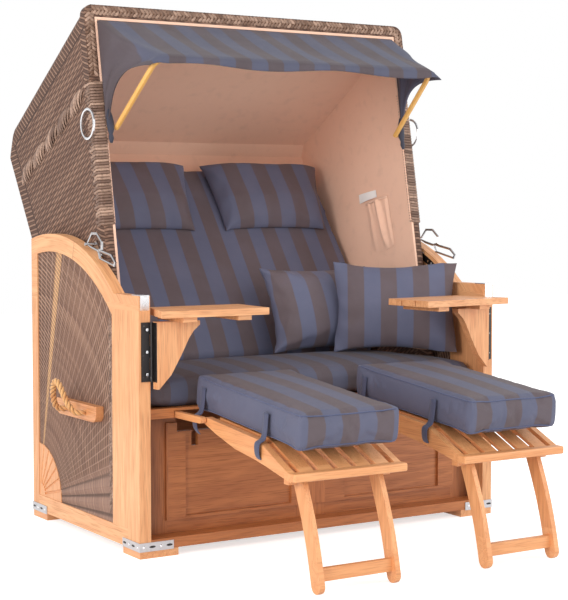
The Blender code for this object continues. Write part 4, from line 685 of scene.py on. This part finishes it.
def welded_copy(node, name):
    mesh = NODES[node].data.copy()
    bm = bmesh.new()
    bm.from_mesh(mesh)
    bmesh.ops.remove_doubles(bm, verts=bm.verts, dist=0.00002)
    bm.to_mesh(mesh)
    bm.free()
    mesh.name = name
    mesh.materials.clear()
    obj = bpy.data.objects.new(name, mesh)
    bpy.context.scene.collection.objects.link(obj)
    return obj


def hung_low(pad, drop=0.045, reach=0.12):
    """The back pad's lower end drawn down behind the seat pad, so that no daylight shows between them."""
    low = min(vert.co.z for vert in pad.data.vertices)
    for vert in pad.data.vertices:
        share = max(0.0, 1 - (vert.co.z - low) / reach)
        vert.co += vec(0, -sin(BACK_LEAN), -cos(BACK_LEAN)) * drop * share
    return pad


def applied(obj):
    """The object's mesh with its modifiers taken into it."""
    graph = bpy.context.evaluated_depsgraph_get()
    mesh = bpy.data.meshes.new_from_object(obj.evaluated_get(graph))
    obj.modifiers.clear()
    old = obj.data
    obj.data = mesh
    bpy.data.meshes.remove(old)
    return obj


def move(obj, co):
    obj.data.vertices.foreach_set("co", co.ravel())
    obj.data.update()


def places(obj):
    co = np.empty(len(obj.data.vertices) * 3)
    obj.data.vertices.foreach_get("co", co)
    return co.reshape(-1, 3)


def inflate(pads, voxel, shrink):
    """Pads swell under pressure, all in one run, and no point moves further than its pad's cap."""
    rest = []
    for obj, _, sewn_up in pads:
        if not sewn_up:
            remesh = obj.modifiers.new("remesh", "REMESH")
            remesh.mode = "VOXEL"
            remesh.voxel_size = voxel
            applied(obj)
        co = places(obj)
        if not sewn_up:
            normals = np.empty(len(obj.data.vertices) * 3)
            obj.data.vertices.foreach_get("normal", normals)
            co -= normals.reshape(-1, 3) * shrink
            move(obj, co)
        rest.append(co)
        cloth = obj.modifiers.new("cloth", "CLOTH")
        cloth.settings.use_pressure = True
        cloth.settings.uniform_pressure_force = 4.0
        cloth.settings.shrink_min = -0.035
        cloth.settings.effector_weights.gravity = 0
        cloth.settings.quality = 4
        cloth.collision_settings.use_collision = False
    scene = bpy.context.scene
    for number in range(1, 21):
        scene.frame_set(number)
    for (obj, cap, _), before in zip(pads, rest):
        applied(obj)
        moved = places(obj) - before
        length = np.linalg.norm(moved, axis=1, keepdims=True)
        moved *= np.minimum(1.0, cap / np.maximum(length, 1e-9))
        move(obj, before + moved)
    scene.frame_set(1)


def refine(obj):
    subdivision = obj.modifiers.new("refine", "SUBSURF")
    subdivision.levels = subdivision.render_levels = 1
    return applied(obj)


def box_pad(name, middle, axes, half, radius, crown, cuts):
    """A box cushion: crisp rounded edges, a crowned top and sides that pull in between its corners."""
    bm = bmesh.new()
    bmesh.ops.create_cube(bm, size=2.0)
    bmesh.ops.subdivide_edges(bm, edges=bm.edges, cuts=cuts, use_grid_fill=True)
    for vert in bm.verts:
        unit = vert.co.copy()
        p = Vector([unit[i] * half[i] for i in range(3)])
        core = Vector([max(-half[i] + radius, min(half[i] - radius, p[i])) for i in range(3)])
        away = p - core
        if away.length > 1e-9:
            p = core + away.normalized() * radius
        u, v, w = (1 - unit[i] ** 2 for i in range(3))
        p.z += crown * u * v if unit.z > 0 else 0
        p.x += 0.004 * w * v * (1 if unit.x > 0 else -1) if abs(unit.x) > 0.99 else 0
        p.x *= 1 - 0.012 * v * (1 - w)
        p.y *= 1 - 0.006 * u * (1 - w)
        vert.co = middle + axes[0] * p.x + axes[1] * p.y + axes[2] * p.z
    return raw(name, bm)


def sewn(name, put, columns=44, rows=34):
    """A pillow of two faces sewn edge to edge; put(u, v, face) places both, and they meet on the seam."""
    bm = bmesh.new()

    def spread(k, count):
        even = 2 * k / count - 1
        return 0.6 * sin(even * pi / 2) + 0.4 * even

    grids = []
    for face in (1, -1):
        grid = []
        for i in range(columns + 1):
            column = []
            for j in range(rows + 1):
                if face < 0 and (i in (0, columns) or j in (0, rows)):
                    column.append(grids[0][i][j])
                else:
                    column.append(bm.verts.new(put(spread(i, columns), spread(j, rows), face)))
            grid.append(column)
        grids.append(grid)
    for grid in grids:
        sheet(bm, grid)
    bmesh.ops.recalc_face_normals(bm, faces=bm.faces)
    return raw(name, bm)


def pillow_spot(side):
    """Middle, turned axes and half sizes of a loose pillow."""
    place, lean, turned = {"right": ((0.399, 0.0025, 0.6555), radians(8), PILLOW_TURN),
                           "left": ((0.2375, 0.18848, 0.6457), radians(20), 0.0)}[side]
    axes = Euler((pi / 2 - lean, 0, turned)).to_matrix()
    return Vector(place), [axes.col[i] for i in range(3)], (0.2075, 0.150, 0.060)


def loose_pillow(side):
    """Square pillow with pointed corners and drawn-in sides."""
    middle, axes, half = pillow_spot(side)

    def put(u, v, face):
        full = max(0.0, (1 - abs(u) ** 2.3) * (1 - abs(v) ** 2.3)) ** 0.52
        gather = abs(u) ** 5 * sin(v * 13 + u * 2) + abs(v) ** 5 * sin(u * 17 + v * 3)
        full *= 1 - 0.16 * gather
        x = half[0] * u * (1 - 0.085 * (1 - v * v))
        y = half[1] * v * (1 - 0.095 * (1 - u * u))
        return middle + axes[0] * x + axes[1] * y + axes[2] * (face * half[2] * full)

    return sewn("loose_pillow_" + side, put)


def headrest_pillow(side):
    """It hangs over the top of the back, full at its lower edge, whose corners are pointed."""
    co = places(NODES["headrest_" + side])
    down = vec(0, -sin(BACK_LEAN), -cos(BACK_LEAN))
    out = vec(0, -cos(BACK_LEAN), sin(BACK_LEAN))
    world = NODES["headrest_" + side].matrix_world
    corners = [world @ Vector(c) for c in co]
    runs = [c.dot(down) for c in corners]
    lifts = [c.dot(out) for c in corners]
    start, run = min(runs) + 0.020, max(runs) - min(runs) + 0.012
    base, thick = min(lifts) + 0.004, max(lifts) - min(lifts) - 0.004
    ends = {"left": (-0.530, -0.018, -0.520, -0.047), "right": (0.040, 0.514, 0.056, 0.470)}[side]

    def put(u, v, face):
        t = (1 - v) / 2
        full = max(0.0, 1 - abs(u) ** 3.2) ** 0.5
        full *= min(1.0, t / 0.10) ** 0.5 * min(1.0, (1 - t) / 0.42) ** 0.5
        gather = t ** 3 * sin(u * 15) + abs(u) ** 5 * sin(v * 9)
        full *= 1 - 0.10 * gather
        left = ends[0] + (ends[2] - ends[0]) * t + 0.006 * sin(pi * t)
        right = ends[1] + (ends[3] - ends[1]) * t - 0.006 * sin(pi * t)
        x = left + (right - left) * (u + 1) / 2
        along = start + run * (t - 0.025 * (1 - u * u) * t)
        lift = base + 0.016 + (thick - 0.016) * full if face > 0 else base + 0.016 - 0.014 * full
        return vec(x, 0, 0) + down * along + out * lift

    return sewn("headrest_pillow_" + side, put, 52, 30)


def piping(name, pad, line, material, body, radius=0.0022):
    """A sewn edge along a closed line, laid on the pad's surface."""
    tree = BVHTree.FromObject(pad, bpy.context.evaluated_depsgraph_get())
    points, ups = [], []
    for p in line:
        hit, normal, _, _ = tree.find_nearest(p)
        points.append(hit + normal * radius * 0.3)
        ups.append(normal)
    for _ in range(2):
        count = len(points)
        points = [(points[i - 1] + points[i] * 2 + points[(i + 1) % count]) / 4 for i in range(count)]
    bm = bmesh.new()
    loft(bm, points, ups, radius * 2, radius * 2, 6, True)
    return solid(name, bm, material, body)


def dotted(corners, step, closed=True):
    """Points every step along straight lines between corners."""
    out = []
    ends = corners[1:] + ([corners[0]] if closed else [])
    for a, b in zip(corners, ends):
        count = max(1, round((b - a).length / step))
        out.extend(a.lerp(b, i / count) for i in range(count))
    if not closed:
        out.append(corners[-1])
    return out


FOOTREST_MIDDLE = {"left": -0.3005, "right": 0.243}
REST_SLOPE = atan((0.4005 - 0.374) / 0.275)


def footrest_pad(side):
    """The crisp box cushion of a footrest and where its edges run."""
    low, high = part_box("footrest_cushion_" + side)
    ahead = vec(0, cos(REST_SLOPE), sin(REST_SLOPE))
    up = vec(0, -sin(REST_SLOPE), cos(REST_SLOPE))
    thick = 0.098
    base = vec(FOOTREST_MIDDLE[side], -0.11 - ORIGIN_Y, 0.4005 + 0.0008)
    run = (base.y - (low.y + high.y) / 2) / cos(REST_SLOPE)
    middle = base - ahead * run + up * (thick / 2 + 0.001)
    axes = (vec(1, 0, 0), ahead, up)
    half = (0.158, 0.275, thick / 2)
    pad = box_pad("footrest_pad_" + side, middle, axes, half, 0.013, 0.008, 26)
    lines = []
    for w in (-1, 1):
        lines.append(dotted([middle + axes[0] * (half[0] * u) + ahead * (half[1] * v) + up * (half[2] * w)
                             for u, v in ((-1, -1), (1, -1), (1, 1), (-1, 1))], 0.012))
    return pad, lines, middle, axes, half


# out from the pad's side wall, share of its half thickness, and metres more
STRAP_PATH = ((0.003, 0.45, 0), (0.0045, -0.4, 0), (0.009, -0.95, 0), (0.026, -1, -0.010),
              (0.024, -1, -0.040), (0.012, -1, -0.058))


def curve(points, steps=5):
    """A smooth line through points."""
    fine = []
    for i, (a, b) in enumerate(zip(points, points[1:])):
        before = points[i - 1] if i else a * 2 - b
        after = points[i + 2] if i + 2 < len(points) else b * 2 - a
        for k in range(steps):
            t = k / steps
            square = 2 * before - 5 * a + 4 * b - after
            cube = 3 * a - before - 3 * b + after
            fine.append(0.5 * ((2 * a) + (b - before) * t + square * t * t + cube * t ** 3))
    return fine + [points[-1]]


def footrest_straps(side, middle, axes, half):
    """Two webbing loops on each long side, from the pad's side wall round under the frame."""
    bm = bmesh.new()
    across, ahead, up = axes
    for hand in (-1, 1):
        for share in (-0.42, 0.80):
            start = middle - ahead * (half[1] * -share)
            fine = curve([start + across * hand * (half[0] + out) + up * (half[2] * high + drop)
                          for out, high, drop in STRAP_PATH])
            ups = []
            for i in range(len(fine)):
                along = (fine[min(i + 1, len(fine) - 1)] - fine[max(i - 1, 0)]).normalized()
                ups.append(ahead.cross(along).normalized())
            loft(bm, fine, ups, 0.026, 0.0026)
    return solid("footrest_straps_" + side, bm, strap_look, "footrest_" + side)


strap_look = plain_cloth("webbing", (0.27, 0.29, 0.40), (0.20, 0.21, 0.31), 2400.0)
# the awning's blue cloth, painted darker than the awning itself as painted shade inside the bunched corners
gather_shade_look = plain_cloth("gather_cloth_shaded", (0.21, 0.215, 0.28), (0.14, 0.145, 0.20))
seam_blue = plain_cloth("seam_blue", (0.30, 0.33, 0.46), (0.22, 0.24, 0.36))
# the footrest and seat cloths carry painted shade
rest_cloth = {side: striped("cloth_footrest_" + side, width=0.0535, phase=0.0267 - middle, plain=True,
                            painted_shade=0.22) for side, middle in FOOTREST_MIDDLE.items()}
seat_cloth = striped("cloth_seat", phase=0.01, painted_shade=0.34)
back_cloth = striped("cloth_back", phase=0.012)
head_cloth = {"left": striped("cloth_headrest_left", (1, 0, 0.16), phase=-0.15),
              "right": striped("cloth_headrest_right", (1, 0, 0.10), phase=-0.10)}
pillow_cloth = {"right": striped("cloth_pillow_right", (cos(PILLOW_TURN), sin(PILLOW_TURN), 0), 0.052, 0.02),
                "left": striped("cloth_pillow_left", (1, 0, 0.05), 0.052, 0.01)}

pads = {}
rest_facts = {}
for side, sign in SIDES:
    pad, lines, middle, axes, half = footrest_pad(side)
    pads["footrest_cushion_" + side] = (pad, 0.005, rest_cloth[side], "footrest_" + side, 0.9, False)
    rest_facts[side] = (lines, middle, axes, half)
    pads["headrest_" + side] = (headrest_pillow(side), 0.007, head_cloth[side], "hood", 0.5, True)
    pads["throw_pillow_" + side] = (loose_pillow(side), 0.008, pillow_cloth[side], "base", 0.6, True)
pads["seat_cushion"] = (welded_copy("seat_cushion", "seat_pad"), 0.007, seat_cloth, "base", 0.8, False)
pads["back_cushion"] = (hung_low(welded_copy("back_cushion", "back_pad")), 0.010, back_cloth, "hood", 0.6,
                        False)

inflate([(obj, cap, sewn_up) for obj, cap, _, _, _, sewn_up in pads.values()], 0.0065, 0.0035)
for node, (obj, _, material, body, fill, _) in pads.items():
    refine(obj)
    dressed(obj, material, body)
    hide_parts(node)

for side, (lines, middle, axes, half) in rest_facts.items():
    pad = pads["footrest_cushion_" + side][0]
    soft = [pad]
    for index, line in enumerate(lines):
        name = "footrest_piping_%s_%d" % (side, index)
        soft.append(piping(name, pad, line, seam_blue, "footrest_" + side))
    soft.append(footrest_straps(side, middle, axes, half))
    for obj in soft:
        "footrest_slide_" + side
        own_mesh(obj)


# ---------------------------------------------------------------- awning

def bow_points(lift, steps=14):
    """Along the bow from its right foot to its left one."""
    foot = vec(0.51 + lift, 0.37 - ORIGIN_Y, 1.21)
    corner = vec(0.488 + lift, 0.148 - ORIGIN_Y, 1.40 + lift)
    before = corner + (foot - corner).normalized() * 0.035
    after = corner - vec(0.035, 0, 0)
    half = [foot.lerp(before, i / 8) for i in range(8)]
    for i in range(steps + 1):
        share = i / steps
        half.append(before.lerp(corner, share).lerp(corner.lerp(after, share), share))
    return half + [vec(-p.x, p.y, p.z) for p in reversed(half)]


def awning():
    """One sheet from the hood's front edge over the bow, with a short hem and a flap on each side."""
    columns, rows, hem_rows = 150, 22, 6
    edge = [vec(x, hood_front(z) - 0.0012, z)
            for x, z in ((0.542, 1.235), (0.542, 1.533), (-0.542, 1.533), (-0.542, 1.235))]
    bow = bow_points(0.014)
    bow[0] = bow[0].lerp(bow[8], 0.16)
    bow[-1] = bow[-1].lerp(bow[-9], 0.16)
    edge_side = AWNING_SIDE / (AWNING_SIDE * 2 + AWNING_TOP)
    arm = (bow[8] - bow[0]).length + 0.03
    bow_side = arm / length_of(bow)
    corner = 0.2

    def share_of(t, side):
        if t < corner:
            return t / corner * side
        if t > 1 - corner:
            return 1 - (1 - t) / corner * side
        return side + (t - corner) / (1 - corner * 2) * (1 - side * 2)

    bm = bmesh.new()
    grid = []
    for i in range(columns + 1):
        t = i / columns
        high, low = at(edge, share_of(t, edge_side)), at(bow, share_of(t, bow_side))
        middle = max(0.0, min(1.0, (min(t, 1 - t) - corner) / 0.03))
        arm_share = min(1.0, min(t, 1 - t) / corner)
        low = low.lerp(high, 0.62 * (1 - arm_share) ** 1.3 + 0.20 * sin(pi * arm_share))
        column = []
        for j in range(rows + 1):
            v = j / rows
            p = high.lerp(low, v)
            sag = sin(pi * v)
            p.z -= sag * (0.007 + 0.004 * cos(t * 31.0) + 0.003 * sin(t * 57.0 + v * 3)) * middle
            p.x += sag * 0.006 * sin(v * 9 + t * 40) * (1 - middle) * (1 if p.x < 0 else -1)
            column.append(bm.verts.new(p))
        for j in range(1, hem_rows + 1):
            v = j / hem_rows
            p = low.copy()
            drop = 0.030 + 0.006 * cos(t * 22.0)
            away = min(1.0, v * 3.0)
            p.z -= v * drop * middle
            p.y -= (0.012 * away + 0.003 * sin(t * 48.0) * v) * middle
            wide = 0.046 * arm_share ** 5 * (1 - middle)
            p.y -= 0.64 * v * wide + 0.004 * away * (1 - middle) * arm_share
            p.z -= 0.40 * v * wide
            p.x += (0.004 * away + 0.012 * v * arm_share ** 3) * (1 - middle) * (1 if p.x > 0 else -1)
            column.append(bm.verts.new(p))
        grid.append(column)
    sheet(bm, grid)
    area = sum(f.calc_area() for f in bm.faces)
    # the awning's cloth carries painted shade
    look_of_it = striped("cloth_awning", phase=0.014, painted_shade=0.38)
    cloth = piece("awning_sheet", bm, look_of_it, "hood")
    cloth.parent = None
    shell = cloth.modifiers.new("thickness", "SOLIDIFY")
    shell.thickness = 0.0016
    applied(cloth)
    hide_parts("awning_cloth")
    width = AWNING_TOP + AWNING_SIDE * 2
    length = area / width * 1.25
    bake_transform(cloth)
    return cloth


awning()


def gathers():
    """The awning's lower corners, drawn together and tied at the hood's edge over the feet of the bow."""
    bm = bmesh.new()
    for _, sign in SIDES:
        spots = [(0.534, 1.268, 0.008, 0.010), (0.532, 1.246, 0.019, 0.013), (0.531, 1.226, 0.025, 0.015),
                 (0.531, 1.206, 0.022, 0.015), (0.532, 1.192, 0.012, 0.011), (0.532, 1.180, 0.018, 0.010),
                 (0.533, 1.166, 0.008, 0.006)]
        points = [vec(sign * x, hood_front(z) - 0.008, z) for x, z, _, _ in spots]
        loft(bm, points, vec(0, -1, 0), [w for _, _, w, _ in spots], [t for _, _, _, t in spots], 12)
    # their dark blue is the awning's blue with painted shade
    return solid("awning_gathers", bm, gather_shade_look, "hood")


gathers()


def liner_edging():
    """A pale piped seam on the liner's front edge, all round under the braid."""
    side, top, corner = HOOD_INNER_X - 0.001, 1.536, 0.02
    line = [vec(x, hood_front(z) + 0.002, z)
            for x, z in ((-side, 0.93), (-side, top - corner), (-side + corner, top), (side - corner, top),
                         (side, top - corner), (side, 0.93))]
    points = dotted(line, 0.02, False)
    bm = bmesh.new()
    loft(bm, points, vec(0, -1, 0), 0.0034, 0.003)
    return solid("liner_edging", bm, seam_look, "hood")


liner_edging()


FOLDS = ((0.20, -0.02, 0.09, 0.006), (0.60, 0.10, 0.085, 0.013), (0.90, 0.02, 0.05, 0.007))


def pocket():
    """A gathered pocket on the right wall of the liner, and a bare slip of paper behind it."""
    wall = HOOD_X - 0.0397 - 0.0004
    top = (vec(wall, 0.577 - ORIGIN_Y, 0.982), vec(wall, 0.452 - ORIGIN_Y, 1.010))
    low = (vec(wall, 0.536 - ORIGIN_Y, 0.822), vec(wall, 0.408 - ORIGIN_Y, 0.850))
    bm = bmesh.new()
    columns, rows = 60, 24
    grid = []
    for i in range(columns + 1):
        u = i / columns
        column = []
        for j in range(rows + 1):
            v = j / rows
            p = top[0].lerp(top[1], u).lerp(low[0].lerp(low[1], u), v)
            p.z -= 0.010 * sin(pi * u) * v
            edge = sin(pi * u) ** 0.5
            bulge = sum(high * exp(-((u - at_top - run * v) / wide) ** 2)
                        for at_top, run, wide, high in FOLDS)
            pleat = 0.0022 * (1 + sin(u * 41)) * max(0.0, 1 - v / 0.3)
            p.x -= 0.0012 + edge * (0.0045 + bulge + pleat) * (1 - v ** 5)
            column.append(bm.verts.new(p))
        grid.append(column)
    sheet(bm, grid, True)
    area = sum(f.calc_area() for f in bm.faces)
    bag = piece("side_pocket", bm, liner_look, "hood")
    area / 0.15
    bm = bmesh.new()
    line = [top[0].lerp(top[1], i / 30) + vec(-0.010 * sin(pi * i / 30) ** 0.5 - 0.002, 0, 0)
            for i in range(31)]
    loft(bm, line, vec(-1, 0, 0), 0.009, 0.003)
    solid("pocket_hem", bm, seam_look, "hood")
    bm = bmesh.new()
    corners = [vec(wall - 0.0022, y - ORIGIN_Y, z)
               for y, z in ((0.613, 0.985), (0.619, 1.016), (0.518, 1.033), (0.512, 1.009))]
    grid = []
    for i in range(13):
        a, b = corners[0].lerp(corners[3], i / 12), corners[1].lerp(corners[2], i / 12)
        bend = vec(-0.004 * sin(pi * i / 12), 0, 0)
        grid.append([bm.verts.new(a.lerp(b, j / 6) + bend) for j in range(7)])
    sheet(bm, grid, True)
    piece("paper_slip", bm, plain_cloth("paper", (0.99, 0.98, 0.97), (0.94, 0.93, 0.93), 900.0), "hood")


pocket()


# ---------------------------------------------------------------- screws and slots

def studs(name, spots, material, body):
    """Flat domed heads: each has its place, the way it faces, a radius along each face axis and a height."""
    bm = bmesh.new()
    for place, normal, wide, tall, high in spots:
        turn_to = Vector(normal).to_track_quat("Z", "Y").to_matrix()
        made = bmesh.ops.create_uvsphere(bm, u_segments=12, v_segments=8, radius=1.0)["verts"]
        for vert in made:
            vert.co = Vector(place) + turn_to @ vec(vert.co.x * wide, vert.co.y * tall, vert.co.z * high)
    return solid(name, bm, material, body)


def fittings():
    """Slots and screws of the corner strips, and the screws of the hinges and locking bars."""
    slots, heads, base_heads = [], [], []
    for side, sign in SIDES:
        for part, faces in (("front", -1), ("rear", 1)):
            low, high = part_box("corner_strip_%s_%s" % (part, side))
            z = (low.z + high.z) / 2
            end_y = low.y if part == "front" else high.y
            out_x = sign * max(abs(low.x), abs(high.x))
            for k in range(4):
                share = (k + 0.5) / 4
                kinds, *size = (slots, 0.0100, 0.0034, 0.0008) if k % 2 else (heads, 0.0042, 0.0042, 0.0016)
                kinds.append(((out_x, low.y + (high.y - low.y) * share, z), (sign, 0, 0), *size))
                kinds.append(((low.x + (high.x - low.x) * share, end_y, z), (0, faces, 0), *size))
        base_heads += [((sign * 0.603, -0.2203, z), (0, -1, 0), 0.0046, 0.0046, 0.0003)
                       for z in (0.516, 0.578, 0.640)]
        base_heads += [((sign * 0.5867, y, z), (-sign, 0, 0), 0.0035, 0.0035, 0.0012)
                       for y, z in ((0.02, 0.752), (0.06, 0.790), (0.105, 0.824), (0.155, 0.850))]
    studs("strip_slots", slots, dark_steel, "base")
    studs("strip_screws", heads, bright_steel, "base")
    studs("hinge_screws", base_heads, bright_steel, "base")


fittings()


# ---------------------------------------------------------------- ropes

ROPE_R = 0.0093


def rope(side, sign):
    """Three strands laid together, out of the block, up in a stiff loop and back into it."""
    face = 0.6473
    first, last = 0.308 - ORIGIN_Y, 0.427 - ORIGIN_Y
    half = (last - first) / 2
    centre = []
    for i in range(145):
        a = pi * i / 144
        out = sin(a) ** 0.5
        centre.append(vec(sign * (face + 0.0086 + 0.0464 * out),
                              (first + last) / 2 - half * cos(a) + half * out / 3,
                              0.378 + 0.088 * sin(a) ** 2))
    centre = ([vec(sign * face, centre[0].y, 0.378)] + centre
              + [vec(sign * face, centre[-1].y, 0.378)])
    length = length_of(centre)
    count = 200
    line = [at(centre, i / (count - 1)) for i in range(count)]
    bm = bmesh.new()
    groove = bm.verts.layers.float.new("groove")
    rings = []
    for i, p in enumerate(line):
        ahead = (line[min(i + 1, count - 1)] - line[max(i - 1, 0)]).normalized()
        if i:
            one = (one - ahead * one.dot(ahead)).normalized()
        else:
            one = ahead.cross(vec(0, 0, 1) if abs(ahead.z) < 0.9 else vec(0, 1, 0)).normalized()
        two = ahead.cross(one)
        lay = tau * (length * i / (count - 1)) / 0.046
        ring = []
        for k in range(24):
            a = tau * k / 24
            crest = abs(cos(1.5 * (a - lay))) ** 0.6
            radius = ROPE_R * (0.58 + 0.44 * crest)
            ring.append(bm.verts.new(p + one * (cos(a) * radius) + two * (sin(a) * radius)))
            # how deep the groove is here, which the rope's material paints as shade
            ring[-1][groove] = 1 - crest
        rings.append(ring)
    tube(bm, rings)
    made = solid("handle_rope_" + side, bm, rope_look, "base")
    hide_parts("carry_rope_" + side)


rope_look = rope_finish()
for side, sign in SIDES:
    rope(side, sign)


# ---------------------------------------------------------------- camera, light, stage

def look(position, azimuth, down):
    data = bpy.data.cameras.new("camera")
    data.sensor_fit = "VERTICAL"
    data.sensor_height = 36
    data.lens = 94.70
    data.clip_end = 60
    camera = bpy.data.objects.new("camera", data)
    bpy.context.scene.collection.objects.link(camera)
    a, p = radians(azimuth), radians(down)
    ahead = vec(sin(a) * cos(p), cos(a) * cos(p), -sin(p))
    camera.rotation_euler = ahead.to_track_quat("-Z", "Y").to_euler()
    camera.location = position
    bpy.context.scene.camera = camera


def lamp(name, place, target, size, power, colour=(1, 1, 1)):
    data = bpy.data.lights.new(name, "AREA")
    data.shape = "RECTANGLE"
    data.size, data.size_y = size
    data.energy = power
    data.color = colour
    obj = bpy.data.objects.new(name, data)
    bpy.context.scene.collection.objects.link(obj)
    obj.location = place
    obj.rotation_euler = (Vector(target) - Vector(place)).to_track_quat("-Z", "Y").to_euler()


def seen_directly(tree):
    """1 on rays that the camera, a reflection or glass sends out."""
    path = tree.nodes.new("ShaderNodeLightPath")
    total = path.outputs["Is Camera Ray"]
    for name in ("Is Glossy Ray", "Is Transmission Ray"):
        either = tree.nodes.new("ShaderNodeMath")
        either.operation = "MAXIMUM"
        tree.links.new(total, either.inputs[0])
        tree.links.new(path.outputs[name], either.inputs[1])
        total = either.outputs[0]
    return total


def shown(tree, plain, seen, end):
    """Gives end the seen shader on the rays of seen_directly and the plain one on all others."""
    mix = tree.nodes.new("ShaderNodeMixShader")
    for socket, value in zip(mix.inputs, (seen_directly(tree), plain.outputs[0], seen.outputs[0])):
        tree.links.new(value, socket)
    tree.links.new(mix.outputs[0], tree.nodes[end].inputs[0])


def white_stage():
    """A floor that bounces soft light, shows white and keeps a faint shadow, in a world that shows white."""
    bm = bmesh.new()
    bmesh.ops.create_grid(bm, x_segments=4, y_segments=4, size=9)
    floor = raw("floor", bm)
    white = Recipe("floor_white")
    white.shader.inputs["Base Color"].default_value = (0.8, 0.8, 0.8, 1)
    white.shader.inputs["Specular IOR Level"].default_value = 0.0
    glow = white.node("Emission", {1: 0.62})
    both = white.node("AddShader", {0: Sum(white, white.shader.outputs[0]), 1: glow})
    shown(white.tree, white.shader, both.socket.node, "Material Output")
    floor.data.materials.append(white.material)
    world = bpy.data.worlds.new("studio")
    bpy.context.scene.world = world
    world.use_nodes = True
    back = world.node_tree.nodes["Background"]
    seen = world.node_tree.nodes.new("ShaderNodeBackground")
    for node, colour, strength in ((back, (1, 0.99, 0.98, 1), 0.95), (seen, (1, 1, 1, 1), 1.0)):
        node.inputs[0].default_value = colour
        node.inputs[1].default_value = strength
    shown(world.node_tree, back, seen, "World Output")


look((-2.579, -4.0955, 0.989), 31.98, 3.52)
bpy.context.scene.view_settings.view_transform = "Standard"
white_stage()
lamp("key", (-4.5, -1.75, 1.7), (0, 0, 0.7), (1.8, 1.8), 103, (1, 0.97, 0.94))
lamp("front", (-0.2, -4.8, 1.9), (0, 0.1, 0.8), (3.0, 2.0), 30)
lamp("fill", (3.0, -3.0, 1.6), (0, 0, 0.6), (1.6, 2.4), 38)
